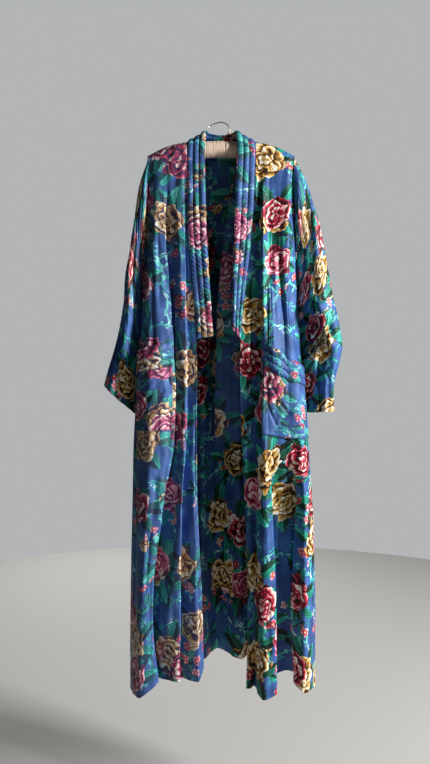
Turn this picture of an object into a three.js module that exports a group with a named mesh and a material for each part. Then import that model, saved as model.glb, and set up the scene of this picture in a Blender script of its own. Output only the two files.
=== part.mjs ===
// A full-length kimono robe of thin printed viscose, hanging open on a padded hanger.
// Millimetres, +Z up, the robe's front faces -Y, and the origin is the bight of the hanger's hook.
// "right" and "left" are the wearer's: the right front is at -X.

import * as THREE from 'three';

// Cloth and seams
const CLOTH = 1.6;
const BAND_CLOTH = 1.8;
const SEAM_GAP = 0.4;

// Padded hanger: a bar that bends down to both shoulders, thinner at its ends
const BAR = {
  halfLength: 175, centreZ: -67.6, drop: 30, dropAt: 183,
  radius: 21.5, taper: 10, taperFrom: 110, taperTo: 180,
  endInset: 0.985, endPower: 12,
};
const REST = 0.9;
const LOOSE = 3.6;
const WIRE_RADIUS = 1.6;
const WIRE_SEAT = { x: 6, above: 0.5 };
// Route of the hook's wire above its seat, chosen by hand: up, round the right side, over and down to the tip
const WIRE_ROUTE = [
  { x: 16, z: -30 }, { x: 22.5, z: -19 }, { x: 19, z: -7 }, { x: 10, z: -0.5 }, { x: 0, z: WIRE_RADIUS },
  { x: -11, z: -0.3 }, { x: -22, z: -4.5 }, { x: -30, z: -10 },
];

// Armhole, left open between the panels: a tall narrow loop in a plane of constant X
const ARMHOLE = {
  topZ: -84, bottomZ: -330, topX: 183, rightBottomX: 193.2, leftBottomX: 190.5, halfDepth: 22, roundness: 0.35,
};

// Neck: the panels meet the bands at this half width on the bar
const NECK_HALF = 86;
const SHOULDER_Z = -100;
const WAIST_Z = -555;

// Heights at which the fold tables give a value, below the shoulder
const STATION_DEPTH = [100, 285, 555, 805, 950, 1200, 1430];

// Fold lines of the wearer's right front, from the side seam to the free edge.
// x and y at each station, and the hem's height there.
const RIGHT_FRONT = [
  { fold: 'side seam', hem: -1436,
    x: [-186, -191, -207, -222, -225, -230, -230], y: [0, 0, 0, 0, 0, 0, 0] },
  { fold: 'side turn', hem: -1432,
    x: [-178, -184, -205, -219, -222, -227, -228], y: [-14, -16, -12, -14, -16, -18, -20] },
  { fold: 'outer panel', hem: -1421,
    x: [-163, -167, -175, -182, -183, -192, -196], y: [-26, -38, -54, -66, -74, -84, -92] },
  { fold: 'outer fold', hem: -1388,
    x: [-143, -140, -119, -118, -141, -167, -151], y: [-26, -36, -50, -60, -70, -78, -84] },
  { fold: 'first recess', hem: -1392,
    x: [-133, -133, -116, -116, -147, -174, -159], y: [-26, -31, -38, -40, -40, -40, -42] },
  { fold: 'inner panel', hem: -1386,
    x: [-123, -122, -112, -109, -109, -150, -142], y: [-26, -36, -46, -52, -56, -62, -66] },
  { fold: 'inner fold', hem: -1384,
    x: [-101, -92, -87, -88, -96, -100, -101], y: [-26, -40, -54, -62, -70, -82, -88] },
  { fold: 'second recess', hem: -1390,
    x: [-93, -89, -85, -86, -100, -107, -109], y: [-26, -32, -38, -40, -41, -43, -46] },
  { fold: 'edge fold', hem: -1393,
    x: [-89, -86, -70, -67, -66, -62, -54], y: [-26, -33, -42, -48, -54, -64, -70] },
  { fold: 'free edge', hem: -1366,
    x: [-86, -84, -62, -60, -59, -47, -42], y: [-26, -34, -44, -48, -50, -54, -54] },
];

// Fold lines of the wearer's left front, from the side seam to the free edge
const LEFT_FRONT = [
  { fold: 'side seam', hem: -1430,
    x: [186, 189, 201, 221, 231, 238, 240], y: [0, 0, 0, 0, 0, 0, 0] },
  { fold: 'side turn', hem: -1424,
    x: [178, 182, 198, 218, 228, 235, 237], y: [-14, -16, -12, -14, -16, -18, -20] },
  { fold: 'outer panel', hem: -1409,
    x: [168, 164, 172, 197, 204, 205, 199], y: [-26, -36, -50, -58, -68, -82, -92] },
  { fold: 'outer fold', hem: -1392,
    x: [148, 145, 156, 172, 185, 172, 178], y: [-26, -33, -51, -60, -56, -64, -72] },
  { fold: 'recess outer foot', hem: -1386,
    x: [138, 135, 143, 154, 189, 182, 186], y: [-26, -31, -51, -60, -36, -36, -38] },
  { fold: 'recess inner foot', hem: -1380,
    x: [128, 125, 130, 142, 156, 154, 162], y: [-26, -31, -52, -62, -40, -34, -34] },
  { fold: 'under the ridge', hem: -1392,
    x: [119, 119, 120, 124, 121, 129, 131], y: [-26, -30, -54, -64, -42, -40, -42] },
  { fold: 'ridge fold', hem: -1408,
    x: [115, 114, 115, 115, 122, 131, 134], y: [-26, -36, -57, -67, -72, -86, -92] },
  { fold: 'ridge', hem: -1420,
    x: [104, 103, 103, 99, 99, 102, 99], y: [-26, -43, -60, -70, -78, -92, -102] },
  { fold: 'edge recess', hem: -1408,
    x: [93, 91, 89, 84, 80, 80, 81], y: [-26, -32, -40, -44, -46, -52, -56] },
  { fold: 'edge panel', hem: -1412,
    x: [90, 84, 69, 68, 69, 72, 70], y: [-26, -35, -45, -49, -52, -56, -62] },
  { fold: 'free edge', hem: -1414,
    x: [87, 78, 49, 51, 58, 65, 61], y: [-26, -34, -44, -48, -50, -54, -58] },
];

// Fold lines of the back: x at the bar, the waist and the hem, how far back each hangs, and its hem
const BACK_DEPTH = 28;
const BACK_FOLDS = [
  { fold: 'right outer', bar: -154, waist: -162, hemX: -182, depth: 60, hem: -1412 },
  { fold: 'right hollow', bar: -118, waist: -117, hemX: -126, depth: 20, hem: -1396 },
  { fold: 'right inner', bar: -NECK_HALF, waist: -84, hemX: -86, depth: 62, hem: -1384 },
  { fold: 'centre right hollow', bar: -52, waist: -52, hemX: -46, depth: 16, hem: -1374 },
  { fold: 'centre', bar: -8, waist: -8, hemX: -8, depth: 64, hem: -1366 },
  { fold: 'centre left hollow', bar: 36, waist: 42, hemX: 50, depth: 24, hem: -1378 },
  { fold: 'left inner', bar: NECK_HALF, waist: 80, hemX: 82, depth: 60, hem: -1374 },
  { fold: 'left hollow', bar: 118, waist: 112, hemX: 118, depth: 22, hem: -1390 },
  { fold: 'left outer', bar: 154, waist: 160, hemX: 182, depth: 58, hem: -1408 },
];
// How far each station has come from the bar's value to the waist's, to the hem's, and to the full depth
const BACK_WAIST_SHARE = [0, 0.4, 1, 1, 1, 1, 1];
const BACK_HEM_SHARE = [0, 0, 0, 0.4, 0.6, 1, 1];
const BACK_DEPTH_SHARE = [0, 0.35, 0.75, 0.9, 1, 1, 1];

// Sleeves, one row a ring: top fold (x, z), underarm seam (x, z) tucked this far behind the side seam,
// and how far the ring reaches forward and back
const RIGHT_SLEEVE = [
  { topX: -189, topZ: -106, underX: -199, underZ: -333, tuck: 0, forward: 27, back: 28 },
  { topX: -203, topZ: -146, underX: -198.2, underZ: -356, tuck: 12, forward: 32, back: 36 },
  { topX: -214, topZ: -200, underX: -199, underZ: -385, tuck: 22, forward: 36, back: 42 },
  { topX: -222, topZ: -262, underX: -201.1, underZ: -420, tuck: 26, forward: 39, back: 46 },
  { topX: -231, topZ: -320, underX: -203.5, underZ: -458, tuck: 26, forward: 42, back: 50 },
  { topX: -240, topZ: -382, underX: -206.2, underZ: -500, tuck: 26, forward: 44, back: 53 },
  { topX: -246, topZ: -444, underX: -209.2, underZ: -548, tuck: 26, forward: 45, back: 55 },
  { topX: -254, topZ: -508, underX: -212.1, underZ: -596, tuck: 26, forward: 46, back: 56 },
  { topX: -267, topZ: -566, underX: -215.5, underZ: -648, tuck: 26, forward: 48, back: 57 },
  { topX: -285, topZ: -626, underX: -218.8, underZ: -700, tuck: 26, forward: 50, back: 57 },
  { topX: -296, topZ: -668, underX: -221.3, underZ: -742, tuck: 26, forward: 51, back: 56 },
];
const LEFT_SLEEVE = [
  { topX: 192, topZ: -102, underX: 197, underZ: -333, tuck: 0, forward: 27, back: 28 },
  { topX: 206, topZ: -128, underX: 195, underZ: -354, tuck: 12, forward: 31, back: 34 },
  { topX: 222, topZ: -168, underX: 195, underZ: -380, tuck: 22, forward: 35, back: 40 },
  { topX: 236, topZ: -214, underX: 196.2, underZ: -410, tuck: 26, forward: 38, back: 45 },
  { topX: 250, topZ: -262, underX: 197.6, underZ: -442, tuck: 26, forward: 41, back: 49 },
  { topX: 262, topZ: -322, underX: 199.3, underZ: -478, tuck: 26, forward: 43, back: 52 },
  { topX: 274, topZ: -390, underX: 201.4, underZ: -518, tuck: 26, forward: 45, back: 54 },
  { topX: 287, topZ: -452, underX: 203.8, underZ: -558, tuck: 26, forward: 47, back: 56 },
  { topX: 303, topZ: -522, underX: 206.4, underZ: -596, tuck: 26, forward: 50, back: 58 },
  { topX: 309, topZ: -566, underX: 208.7, underZ: -626, tuck: 26, forward: 52, back: 60 },
  { topX: 301, topZ: -606, underX: 211.1, underZ: -656, tuck: 26, forward: 48, back: 57 },
  { topX: 288, topZ: -650, underX: 214.2, underZ: -692, tuck: 26, forward: 46, back: 54 },
  { topX: 284, topZ: -692, underX: 216.4, underZ: -718, tuck: 26, forward: 47, back: 54 },
  { topX: 284, topZ: -734, underX: 218.1, underZ: -738, tuck: 26, forward: 47, back: 54 },
];
const SLEEVE_SIDES = 20;
const RIGHT_RINGS_PER_ROW = 1;
const LEFT_RINGS_PER_ROW = 2;
// Folds across the front of the bent left elbow: a line in the XZ plane, its half width and how far it sinks in
const ELBOW_FOLDS = [
  { fromX: 200, fromZ: -486, toX: 264, toZ: -530, width: 15, depth: 17 },
  { fromX: 212, fromZ: -448, toX: 276, toZ: -490, width: 16, depth: -6 },
  { fromX: 262, fromZ: -566, toX: 242, toZ: -660, width: 12, depth: 8 },
];
// The section's roundness, its folds, and the head ring's clearance outside the armhole
const SLEEVE_ROUNDNESS = 0.8;
const SLEEVE_FOLD = { count: 3, depth: 3.4, turnPerRing: 0.5, sideways: 0.6, reachPerDepth: 1 / 60 };
const SLEEVE_HEAD = { out: 1.5 * SEAM_GAP, inset: 2 };

// Free edge of the two side bands, by the height of the seam that it belongs to
const RIGHT_BAND_EDGE = [
  { seamZ: -50, x: -36, y: 2, z: -18 },
  { seamZ: -57, x: -37, y: -12, z: -27 },
  { seamZ: -65, x: -38.5, y: -22, z: -42 },
  { seamZ: -76, x: -40.5, y: -28, z: -66 },
  { seamZ: -100, x: -41, y: -31, z: -98 },
  { seamZ: -130, x: -40.5, y: -33, z: -130 },
  { seamZ: -285, x: -36, y: -40, z: -285 },
  { seamZ: -430, x: -28, y: -45, z: -428 },
  { seamZ: -555, x: -20, y: -50, z: -548 },
];
const LEFT_BAND_EDGE = [
  { seamZ: -50, x: 36, y: 2, z: -18 },
  { seamZ: -57, x: 37, y: -14, z: -27 },
  { seamZ: -65, x: 38.5, y: -25, z: -42 },
  { seamZ: -76, x: 40.5, y: -31, z: -66 },
  { seamZ: -100, x: 40.5, y: -33, z: -98 },
  { seamZ: -130, x: 39, y: -34, z: -130 },
  { seamZ: -285, x: 33, y: -41, z: -285 },
  { seamZ: -430, x: 29, y: -48, z: -420 },
  { seamZ: -555, x: 28, y: -54, z: -532 },
];
const BAND_TOP_REACH = 2;
const NECK_EDGE = { halfWidth: 36, y: 2, lean: 6, z: -18, dip: 4 };
// Three pintucks across the width of a band: share of the width and height above the ground cloth
const TUCKS = [
  { across: 0, lift: 0 }, { across: 0.12, lift: 1 }, { across: 0.27, lift: 0.7 },
  { across: 0.34, lift: -0.9 }, { across: 0.45, lift: 1 }, { across: 0.6, lift: 0.7 },
  { across: 0.67, lift: -0.9 }, { across: 0.78, lift: 1 }, { across: 0.93, lift: 0.6 },
  { across: 1, lift: 0 },
];
const TUCK_LIFT = 2.2;

// Patch pockets: where they start and end across the front's fold lines, their corners' heights and pouch
const RIGHT_POCKET = {
  outer: 1.2, inner: 2.9, bottomOuter: -782, bottomInner: -778, topOuter: -592, topInner: -562, pouch: 15,
};
const LEFT_POCKET = {
  outer: 1.1, inner: 7.9, bottomOuter: -802, bottomInner: -788, topOuter: -622, topInner: -553, pouch: 15,
};
const POCKET_BAND_SHARE = 0.28;
const POCKET_GAP_SHARE = SEAM_GAP / 200;
const POCKET_LIFT = 2.6;
const POCKET_TUCK_LIFT = 1.3;
const POUCH_SHAPE = { sidePower: 0.7, rise: 1.5, topPower: 0.8 };
const POCKET_NORMAL_STEP = { folds: 0.3, height: 20 };

// Sash: middle and half width along its two tails, hung over the bar under the left band
const SASH_FRONT = [
  { z: -812, y: -9, middle: 17.5, half: 33 },
  { z: -640, y: -10, middle: 17.5, half: 32 },
  { z: -450, y: -12, middle: 19, half: 26 },
  { z: -285, y: -13, middle: 27, half: 18 },
  { z: -160, y: -17, middle: 42, half: 11.5 },
  { z: -95, y: -21.5, middle: 48, half: 9 },
];
const SASH_HEIGHTS = [-812, -740, -660, -580, -500, -430, -360, -290, -225, -165, -125, -92];
const SASH_ARC_STEPS = 8;
const SASH_REST = 0.5;
const SASH_BACK = { bottom: -770, y: 6, leaveZ: -400, leaveOver: 300, reach: 1 };
const SASH_GATHERS = { count: 3, depth: 2.2, endZ: -230 };

const clamp = (value, low, high) => Math.min(Math.max(value, low), high);
const lerp = (from, to, share) => from + (to - from) * share;
const point = (x, y, z) => new THREE.Vector3(x, y, z);

// Smooth curve through values at rising keys, with no overshoot between uneven keys
function through(keys, values, at) {
  let i = 0;
  while (i < keys.length - 2 && at > keys[i + 1]) i += 1;
  const slope = (k) => {
    const before = Math.max(k - 1, 0);
    const after = Math.min(k + 1, keys.length - 1);
    return (values[after] - values[before]) / (keys[after] - keys[before]);
  };
  const span = keys[i + 1] - keys[i];
  const t = clamp((at - keys[i]) / span, 0, 1);
  const t2 = t * t;
  const t3 = t2 * t;
  return (2 * t3 - 3 * t2 + 1) * values[i] + (t3 - 2 * t2 + t) * span * slope(i)
    + (3 * t2 - 2 * t3) * values[i + 1] + (t3 - t2) * span * slope(i + 1);
}

// Smooth section through a row of points; u counts the points, and distances set the spacing
function sectionAt(points, u) {
  const keys = [0];
  for (let i = 1; i < points.length; i += 1) {
    keys.push(keys[i - 1] + Math.max(points[i].distanceTo(points[i - 1]), 0.5));
  }
  const i = clamp(Math.floor(u), 0, points.length - 2);
  const at = lerp(keys[i], keys[i + 1], u - i);
  return point(
    through(keys, points.map((p) => p.x), at),
    through(keys, points.map((p) => p.y), at),
    through(keys, points.map((p) => p.z), at),
  );
}

// Hanger bar: its centre line and radius at a place along it
const barZ = (x) => BAR.centreZ - BAR.drop * (x / BAR.dropAt) ** 2;
function barRadius(x) {
  const share = clamp((Math.abs(x) - BAR.taperFrom) / (BAR.taperTo - BAR.taperFrom), 0, 1);
  return BAR.radius - BAR.taper * share * share;
}

// How far in front of the bar's centre line, or behind it, the cloth hangs past the bar
function barReach(x, side) {
  return side < 0 ? barRadius(x) + LOOSE + CLOTH / 2 : BACK_DEPTH - (BAR.radius - barRadius(x));
}

// Cloth over the bar: share 0 is the upper seam or neckline, share 1 is at SHOULDER_Z
function overBar(x, share, side, startSine) {
  const up = barRadius(x) + REST + CLOTH / 2;
  const out = barReach(x, side);
  const startAngle = Math.asin(clamp(startSine, 0, 1));
  const arc = startAngle * up;
  const straight = barZ(x) - SHOULDER_Z;
  const along = share * (arc + straight);
  if (along >= arc) return point(x, side * out, barZ(x) - (along - arc));
  const angle = startAngle * (1 - along / arc);
  return point(x, side * out * Math.cos(angle), barZ(x) + up * Math.sin(angle));
}

function armholeAt(z, side) {
  const middle = (ARMHOLE.topZ + ARMHOLE.bottomZ) / 2;
  const half = (ARMHOLE.topZ - ARMHOLE.bottomZ) / 2;
  const off = clamp((z - middle) / half, -1, 1);
  const depth = ARMHOLE.halfDepth * (1 - off * off) ** ARMHOLE.roundness;
  const bottomX = side < 0 ? ARMHOLE.rightBottomX : ARMHOLE.leftBottomX;
  const x = lerp(ARMHOLE.topX, bottomX, clamp((ARMHOLE.topZ - z) / (2 * half), 0, 1));
  return { x: side * x, depth };
}

// Rows of a panel: over the bar, past the armhole, then evenly down to the hem
const BAR_SHARES = [0, 0.13, 0.26, 0.39, 0.53, 0.76, 1];
const ARMHOLE_ROWS = [-130, -170, -215, -260, -298, -320, -331];
const LOWER_ROWS = 12;
const ROW_COUNT = BAR_SHARES.length + ARMHOLE_ROWS.length + LOWER_ROWS;

function rowHeight(row, hem) {
  const below = row - BAR_SHARES.length;
  if (below < ARMHOLE_ROWS.length) return ARMHOLE_ROWS[below];
  const last = ARMHOLE_ROWS[ARMHOLE_ROWS.length - 1];
  return lerp(last, hem, (below - ARMHOLE_ROWS.length + 1) / LOWER_ROWS);
}

// Turns a table of fold lines into a panel: u counts fold lines from side seam to edge
function makePanel(folds, side, sides, columns) {
  const at = (fold, z) => {
    const down = clamp(-z, STATION_DEPTH[0], STATION_DEPTH[STATION_DEPTH.length - 1]);
    const y = [side * barReach(fold.x[0], side), ...fold.y.slice(1)];
    return point(through(STATION_DEPTH, fold.x, down), through(STATION_DEPTH, y, down), z);
  };
  const hemAt = (u) => sectionAt(folds.map((fold, i) => point(i, fold.hem, 0)), u).y;
  const surface = (z, u) => sectionAt(folds.map((fold) => at(fold, z)), u);
  const grid = (u, row) => {
    const seam = sides.find((end) => end.u === u);
    let p;
    if (row < BAR_SHARES.length) {
      const x = surface(SHOULDER_Z, u).x;
      p = overBar(x, BAR_SHARES[row], side, side < 0 ? 1 : Math.abs(x) / NECK_HALF);
    } else {
      p = surface(rowHeight(row, hemAt(u)), u);
    }
    if (seam && p.z > ARMHOLE.bottomZ) {
      const hole = armholeAt(p.z, seam.sign);
      p.x = hole.x;
      p.y = side * Math.max(hole.depth, SEAM_GAP / 2);
    } else if (row === 0) {
      p.y = side * Math.max(Math.abs(p.y), SEAM_GAP / 2);
      if (side > 0 && Math.abs(p.x) < NECK_HALF) p.z -= SEAM_GAP;
    }
    if (seam && p.z <= ARMHOLE.bottomZ) p.y = side * SEAM_GAP / 2;
    return p;
  };
  return { grid, surface, columns };
}

// Normal of a grid of points at one place, from its neighbours
function normalAt(rows, i, j, ring) {
  const last = rows[0].length;
  const left = ring ? (j + last - 1) % last : Math.max(j - 1, 0);
  const right = ring ? (j + 1) % last : Math.min(j + 1, last - 1);
  const up = rows[Math.max(i - 1, 0)][j];
  const down = rows[Math.min(i + 1, rows.length - 1)][j];
  const across = rows[i][right].clone().sub(rows[i][left]);
  return down.clone().sub(up).cross(across).normalize();
}

// Closed wall on a grid of middle points. rims gives, for each border, the direction that its
// end face looks along; ring joins the last column to the first.
function wall(rows, thickness, { ring = false, rims = {}, lift = null } = {}) {
  const high = rows.length;
  const wide = rows[0].length;
  const outer = [];
  const inner = [];
  for (let i = 0; i < high; i += 1) {
    for (let j = 0; j < wide; j += 1) {
      const normal = normalAt(rows, i, j, ring);
      const borders = [];
      if (i === 0 && rims.first) borders.push(rims.first(i, j));
      if (i === high - 1 && rims.last) borders.push(rims.last(i, j));
      if (j === 0 && rims.start) borders.push(rims.start(i, j));
      if (j === wide - 1 && rims.end) borders.push(rims.end(i, j));
      borders.forEach((axis) => {
        normal.addScaledVector(axis, -normal.dot(axis)).normalize();
      });
      const middle = rows[i][j].clone();
      if (lift) middle.addScaledVector(normal, lift(i, j));
      outer.push(middle.clone().addScaledVector(normal, thickness / 2));
      inner.push(middle.clone().addScaledVector(normal, -thickness / 2));
    }
  }
  return closeShell(outer, inner, high, wide, ring);
}

function closeShell(outer, inner, high, wide, ring) {
  const count = outer.length;
  const triangles = [];
  const quad = (a, b, c, d) => triangles.push(a, b, c, a, c, d);
  const at = (i, j) => i * wide + (j % wide);
  const columns = ring ? wide : wide - 1;
  for (let i = 0; i < high - 1; i += 1) {
    for (let j = 0; j < columns; j += 1) {
      const [a, b, c, d] = [at(i, j), at(i + 1, j), at(i + 1, j + 1), at(i, j + 1)];
      quad(a, b, c, d);
      quad(count + a, count + d, count + c, count + b);
    }
  }
  for (let j = 0; j < columns; j += 1) {
    quad(at(0, j), at(0, j + 1), count + at(0, j + 1), count + at(0, j));
    quad(at(high - 1, j + 1), at(high - 1, j), count + at(high - 1, j), count + at(high - 1, j + 1));
  }
  for (let i = 0; !ring && i < high - 1; i += 1) {
    const end = wide - 1;
    quad(at(i + 1, 0), at(i, 0), count + at(i, 0), count + at(i + 1, 0));
    quad(at(i, end), at(i + 1, end), count + at(i + 1, end), count + at(i, end));
  }
  return solid([...outer, ...inner], triangles);
}

// Geometry from points and triangles, turned so that its faces point outwards
function solid(points, triangles) {
  let volume = 0;
  for (let i = 0; i < triangles.length; i += 3) {
    const [a, b, c] = [points[triangles[i]], points[triangles[i + 1]], points[triangles[i + 2]]];
    volume += a.dot(b.clone().cross(c));
  }
  const order = volume < 0 ? triangles.slice().reverse() : triangles;
  const geometry = new THREE.BufferGeometry();
  geometry.setAttribute('position', new THREE.Float32BufferAttribute(points.flatMap((p) => p.toArray()), 3));
  geometry.setIndex(order);
  geometry.computeVertexNormals();
  return geometry;
}

const X_AXIS = point(1, 0, 0);
const Y_AXIS = point(0, 1, 0);
const Z_AXIS = point(0, 0, 1);

// Columns: every fold line and the places between, closer together where extra names the fold line
const PANEL_STEPS = 2;
function columnsOf(folds, extra = []) {
  const columns = [0];
  for (let fold = 0; fold < folds.length - 1; fold += 1) {
    const steps = extra.includes(fold) ? PANEL_STEPS * 2 : PANEL_STEPS;
    for (let i = 1; i <= steps; i += 1) columns.push(fold + i / steps);
  }
  return columns;
}

function panelGeometry(panel, rims) {
  const rows = Array.from({ length: ROW_COUNT }, (_, row) => panel.columns.map((u) => panel.grid(u, row)));
  return wall(rows, CLOTH, { rims });
}

// The end face of a side edge looks along X in the armhole and along Y in the side seam below it
const sideRim = (row) => (row < BAR_SHARES.length + ARMHOLE_ROWS.length - 1 ? X_AXIS : Y_AXIS);

const rightFront = makePanel(RIGHT_FRONT, -1, [{ u: 0, sign: -1 }], columnsOf(RIGHT_FRONT));
const leftFront = makePanel(LEFT_FRONT, -1, [{ u: 0, sign: 1 }], columnsOf(LEFT_FRONT));

// The back's fold lines, with the fronts' side seams at both ends
function backFolds() {
  const sideOf = (front, inward) => [
    { x: front[0].x, y: front[0].y, hem: front[0].hem },
    { x: front[1].x.map((x) => x + inward), y: front[1].y.map((y) => -y), hem: front[1].hem },
  ];
  const middle = BACK_FOLDS.map((fold) => ({
    x: BACK_WAIST_SHARE.map((share, i) => (
      lerp(lerp(fold.bar, fold.waist, share), fold.hemX, BACK_HEM_SHARE[i])
    )),
    y: BACK_DEPTH_SHARE.map((share) => lerp(BACK_DEPTH, fold.depth, share)),
    hem: fold.hem,
  }));
  return [...sideOf(RIGHT_FRONT, 1), ...middle, ...sideOf(LEFT_FRONT, -1).reverse()];
}
const BACK = backFolds();
const BACK_SIDES = [{ u: 0, sign: -1 }, { u: BACK.length - 1, sign: 1 }];
const neckFolds = BACK.map((fold, i) => i).filter((i) => Math.abs(BACK[i].x[0]) === NECK_HALF);
const back = makePanel(BACK, 1, BACK_SIDES, columnsOf(BACK, [neckFolds[0], neckFolds[1] - 1]));
const NECK_COLUMNS = back.columns.filter((u) => u >= neckFolds[0] && u <= neckFolds[1]);

// How far a place on the front of the left sleeve sinks into the elbow's folds
function elbowDepth(x, z) {
  return ELBOW_FOLDS.reduce((sum, { fromX, fromZ, toX, toZ, width, depth }) => {
    const line = new THREE.Line3(point(fromX, 0, fromZ), point(toX, 0, toZ));
    const nearest = line.closestPointToPoint(point(x, 0, z), true, point(0, 0, 0));
    return sum + depth * Math.exp(-((nearest.distanceTo(point(x, 0, z)) / width) ** 2));
  }, 0);
}

// Sleeve rings: the first is the armhole itself, the others come from the table
function sleeveGeometry(table, side, ringsPerRow, frontDepth) {
  const angles = Array.from({ length: SLEEVE_SIDES }, (_, i) => (i * 2 * Math.PI) / SLEEVE_SIDES);
  const middle = (ARMHOLE.topZ + ARMHOLE.bottomZ) / 2;
  const half = (ARMHOLE.topZ - ARMHOLE.bottomZ) / 2;
  const head = angles.map((angle) => {
    const hole = armholeAt(middle + half * Math.cos(angle), side);
    const z = middle + (half - SLEEVE_HEAD.inset) * Math.cos(angle);
    const forward = Math.sign(Math.round(Math.sin(angle) * 1e6));
    return point(hole.x + side * SLEEVE_HEAD.out, -forward * hole.depth, z);
  });
  const keys = table.map((row, k) => k);
  const last = table.length - 1;
  const rings = Array.from({ length: last * ringsPerRow + 1 }, (_, i) => {
    const k = i / ringsPerRow;
    const value = (name) => through(keys, table.map((row) => row[name]), k);
    return angles.map((angle) => {
      const up = (1 + Math.cos(angle)) / 2;
      const turned = SLEEVE_FOLD.count * angle + SLEEVE_FOLD.turnPerRing * k;
      const fold = SLEEVE_FOLD.depth * (k / last) * Math.sin(turned);
      const x = lerp(value('underX'), value('topX'), up);
      const z = lerp(value('underZ'), value('topZ'), up);
      const bulge = Math.abs(Math.sin(angle)) ** SLEEVE_ROUNDNESS * (1 + fold * SLEEVE_FOLD.reachPerDepth);
      const reach = Math.sin(angle) > 0 ? -(value('forward') - frontDepth(x, z)) : value('back');
      const sideways = side * fold * Math.max(Math.cos(angle) * side, 0) * SLEEVE_FOLD.sideways;
      return point(x + sideways, lerp(value('tuck'), 0, up) + reach * bulge, z);
    });
  });
  return wall([head, ...rings], CLOTH, { ring: true, rims: { first: () => X_AXIS } });
}

// Side band: ruled between the front's edge and its own free edge, with pintucks
const BAND_LOWER_ROWS = 3;
const BAND_ROWS = BAR_SHARES.length + ARMHOLE_ROWS.length + BAND_LOWER_ROWS;
function bandGeometry(panel, lastFold, edge, side) {
  const keys = edge.map((row) => -row.seamZ);
  const rows = [];
  for (let row = 0; row < BAND_ROWS; row += 1) {
    const seam = panel.grid(lastFold, row);
    if (row === BAND_ROWS - 1) seam.copy(panel.surface(WAIST_Z, lastFold));
    seam.x -= side * SEAM_GAP;
    const down = clamp(-seam.z, keys[0], keys[keys.length - 1]);
    const free = point(...['x', 'y', 'z'].map((axis) => through(keys, edge.map((place) => place[axis]), down)));
    if (row === 0) free.y = seam.y + BAND_TOP_REACH;
    rows.push(TUCKS.map((tuck) => seam.clone().lerp(free, tuck.across)));
  }
  const lift = (i, j) => side * TUCK_LIFT * TUCKS[j].lift;
  return wall(rows, BAND_CLOTH, { rims: { first: () => Y_AXIS, start: () => X_AXIS }, lift });
}

// Neck band: stands on the back's neckline and meets both side bands over the shoulders
function neckBandGeometry() {
  const rows = NECK_COLUMNS.map((u) => {
    const seam = back.grid(u, 0);
    const across = seam.x / NECK_HALF;
    const round = Math.sqrt(Math.max(1 - across * across, 0));
    const free = point(
      NECK_EDGE.halfWidth * across,
      seam.y + NECK_EDGE.y - NECK_EDGE.lean * round,
      NECK_EDGE.z - NECK_EDGE.dip * round,
    );
    seam.z += 2 * SEAM_GAP;
    return TUCKS.map((tuck) => seam.clone().lerp(free, tuck.across));
  });
  const lift = (i, j) => -TUCK_LIFT * TUCKS[j].lift;
  const rims = { first: () => Y_AXIS, last: () => Y_AXIS, start: () => Z_AXIS };
  return wall(rows, BAND_CLOTH, { rims, lift });
}

// A point of the built panel, between its own columns and rows
function onPanel(panel, u, z) {
  const low = Math.floor(u * PANEL_STEPS) / PANEL_STEPS;
  const onColumn = (column) => {
    let row = BAR_SHARES.length;
    while (row < ROW_COUNT - 2 && panel.grid(column, row + 1).z > z) row += 1;
    const above = panel.grid(column, row);
    const below = panel.grid(column, row + 1);
    return above.lerp(below, (above.z - z) / (above.z - below.z));
  };
  return onColumn(low).lerp(onColumn(low + 1 / PANEL_STEPS), (u - low) * PANEL_STEPS);
}

// Patch pocket and its tucked band, made from the front's points and moved out
const POCKET_ROWS = 6;
function pocketPoint(panel, pocket, u, up) {
  const across = (u - pocket.outer) / (pocket.inner - pocket.outer);
  const bottom = lerp(pocket.bottomOuter, pocket.bottomInner, across);
  const top = lerp(pocket.topOuter, pocket.topInner, across);
  const z = lerp(bottom, top, up);
  const p = onPanel(panel, u, z);
  const { folds, height } = POCKET_NORMAL_STEP;
  const overX = onPanel(panel, u + folds, z).sub(onPanel(panel, u - folds, z));
  const overZ = onPanel(panel, u, z + height).sub(onPanel(panel, u, z - height));
  const normal = overX.cross(overZ).normalize();
  if (normal.y > 0) normal.negate();
  const sides = Math.sin(Math.PI * across) ** POUCH_SHAPE.sidePower;
  const rise = Math.sin(up * POUCH_SHAPE.rise) ** POUCH_SHAPE.topPower;
  return p.addScaledVector(normal, POCKET_LIFT + pocket.pouch * sides * rise);
}

function pocketGeometries(panel, pocket, side) {
  const ownColumns = panel.columns.filter((u) => u > pocket.outer && u < pocket.inner);
  const columns = [pocket.outer, ...ownColumns, pocket.inner];
  const split = 1 - POCKET_BAND_SHARE;
  const bodyRows = Array.from({ length: POCKET_ROWS + 1 }, (_, i) => (split * i) / POCKET_ROWS);
  const body = bodyRows.map((up) => columns.map((u) => pocketPoint(panel, pocket, u, up)));
  const band = TUCKS.map((tuck) => columns.map((u) => (
    pocketPoint(panel, pocket, u, lerp(split + POCKET_GAP_SHARE, 1, tuck.across))
  )));
  const lift = (i) => side * POCKET_TUCK_LIFT * (1 + TUCKS[i].lift);
  return { body: wall(body, CLOTH), band: wall(band, CLOTH, { lift }) };
}

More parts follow.
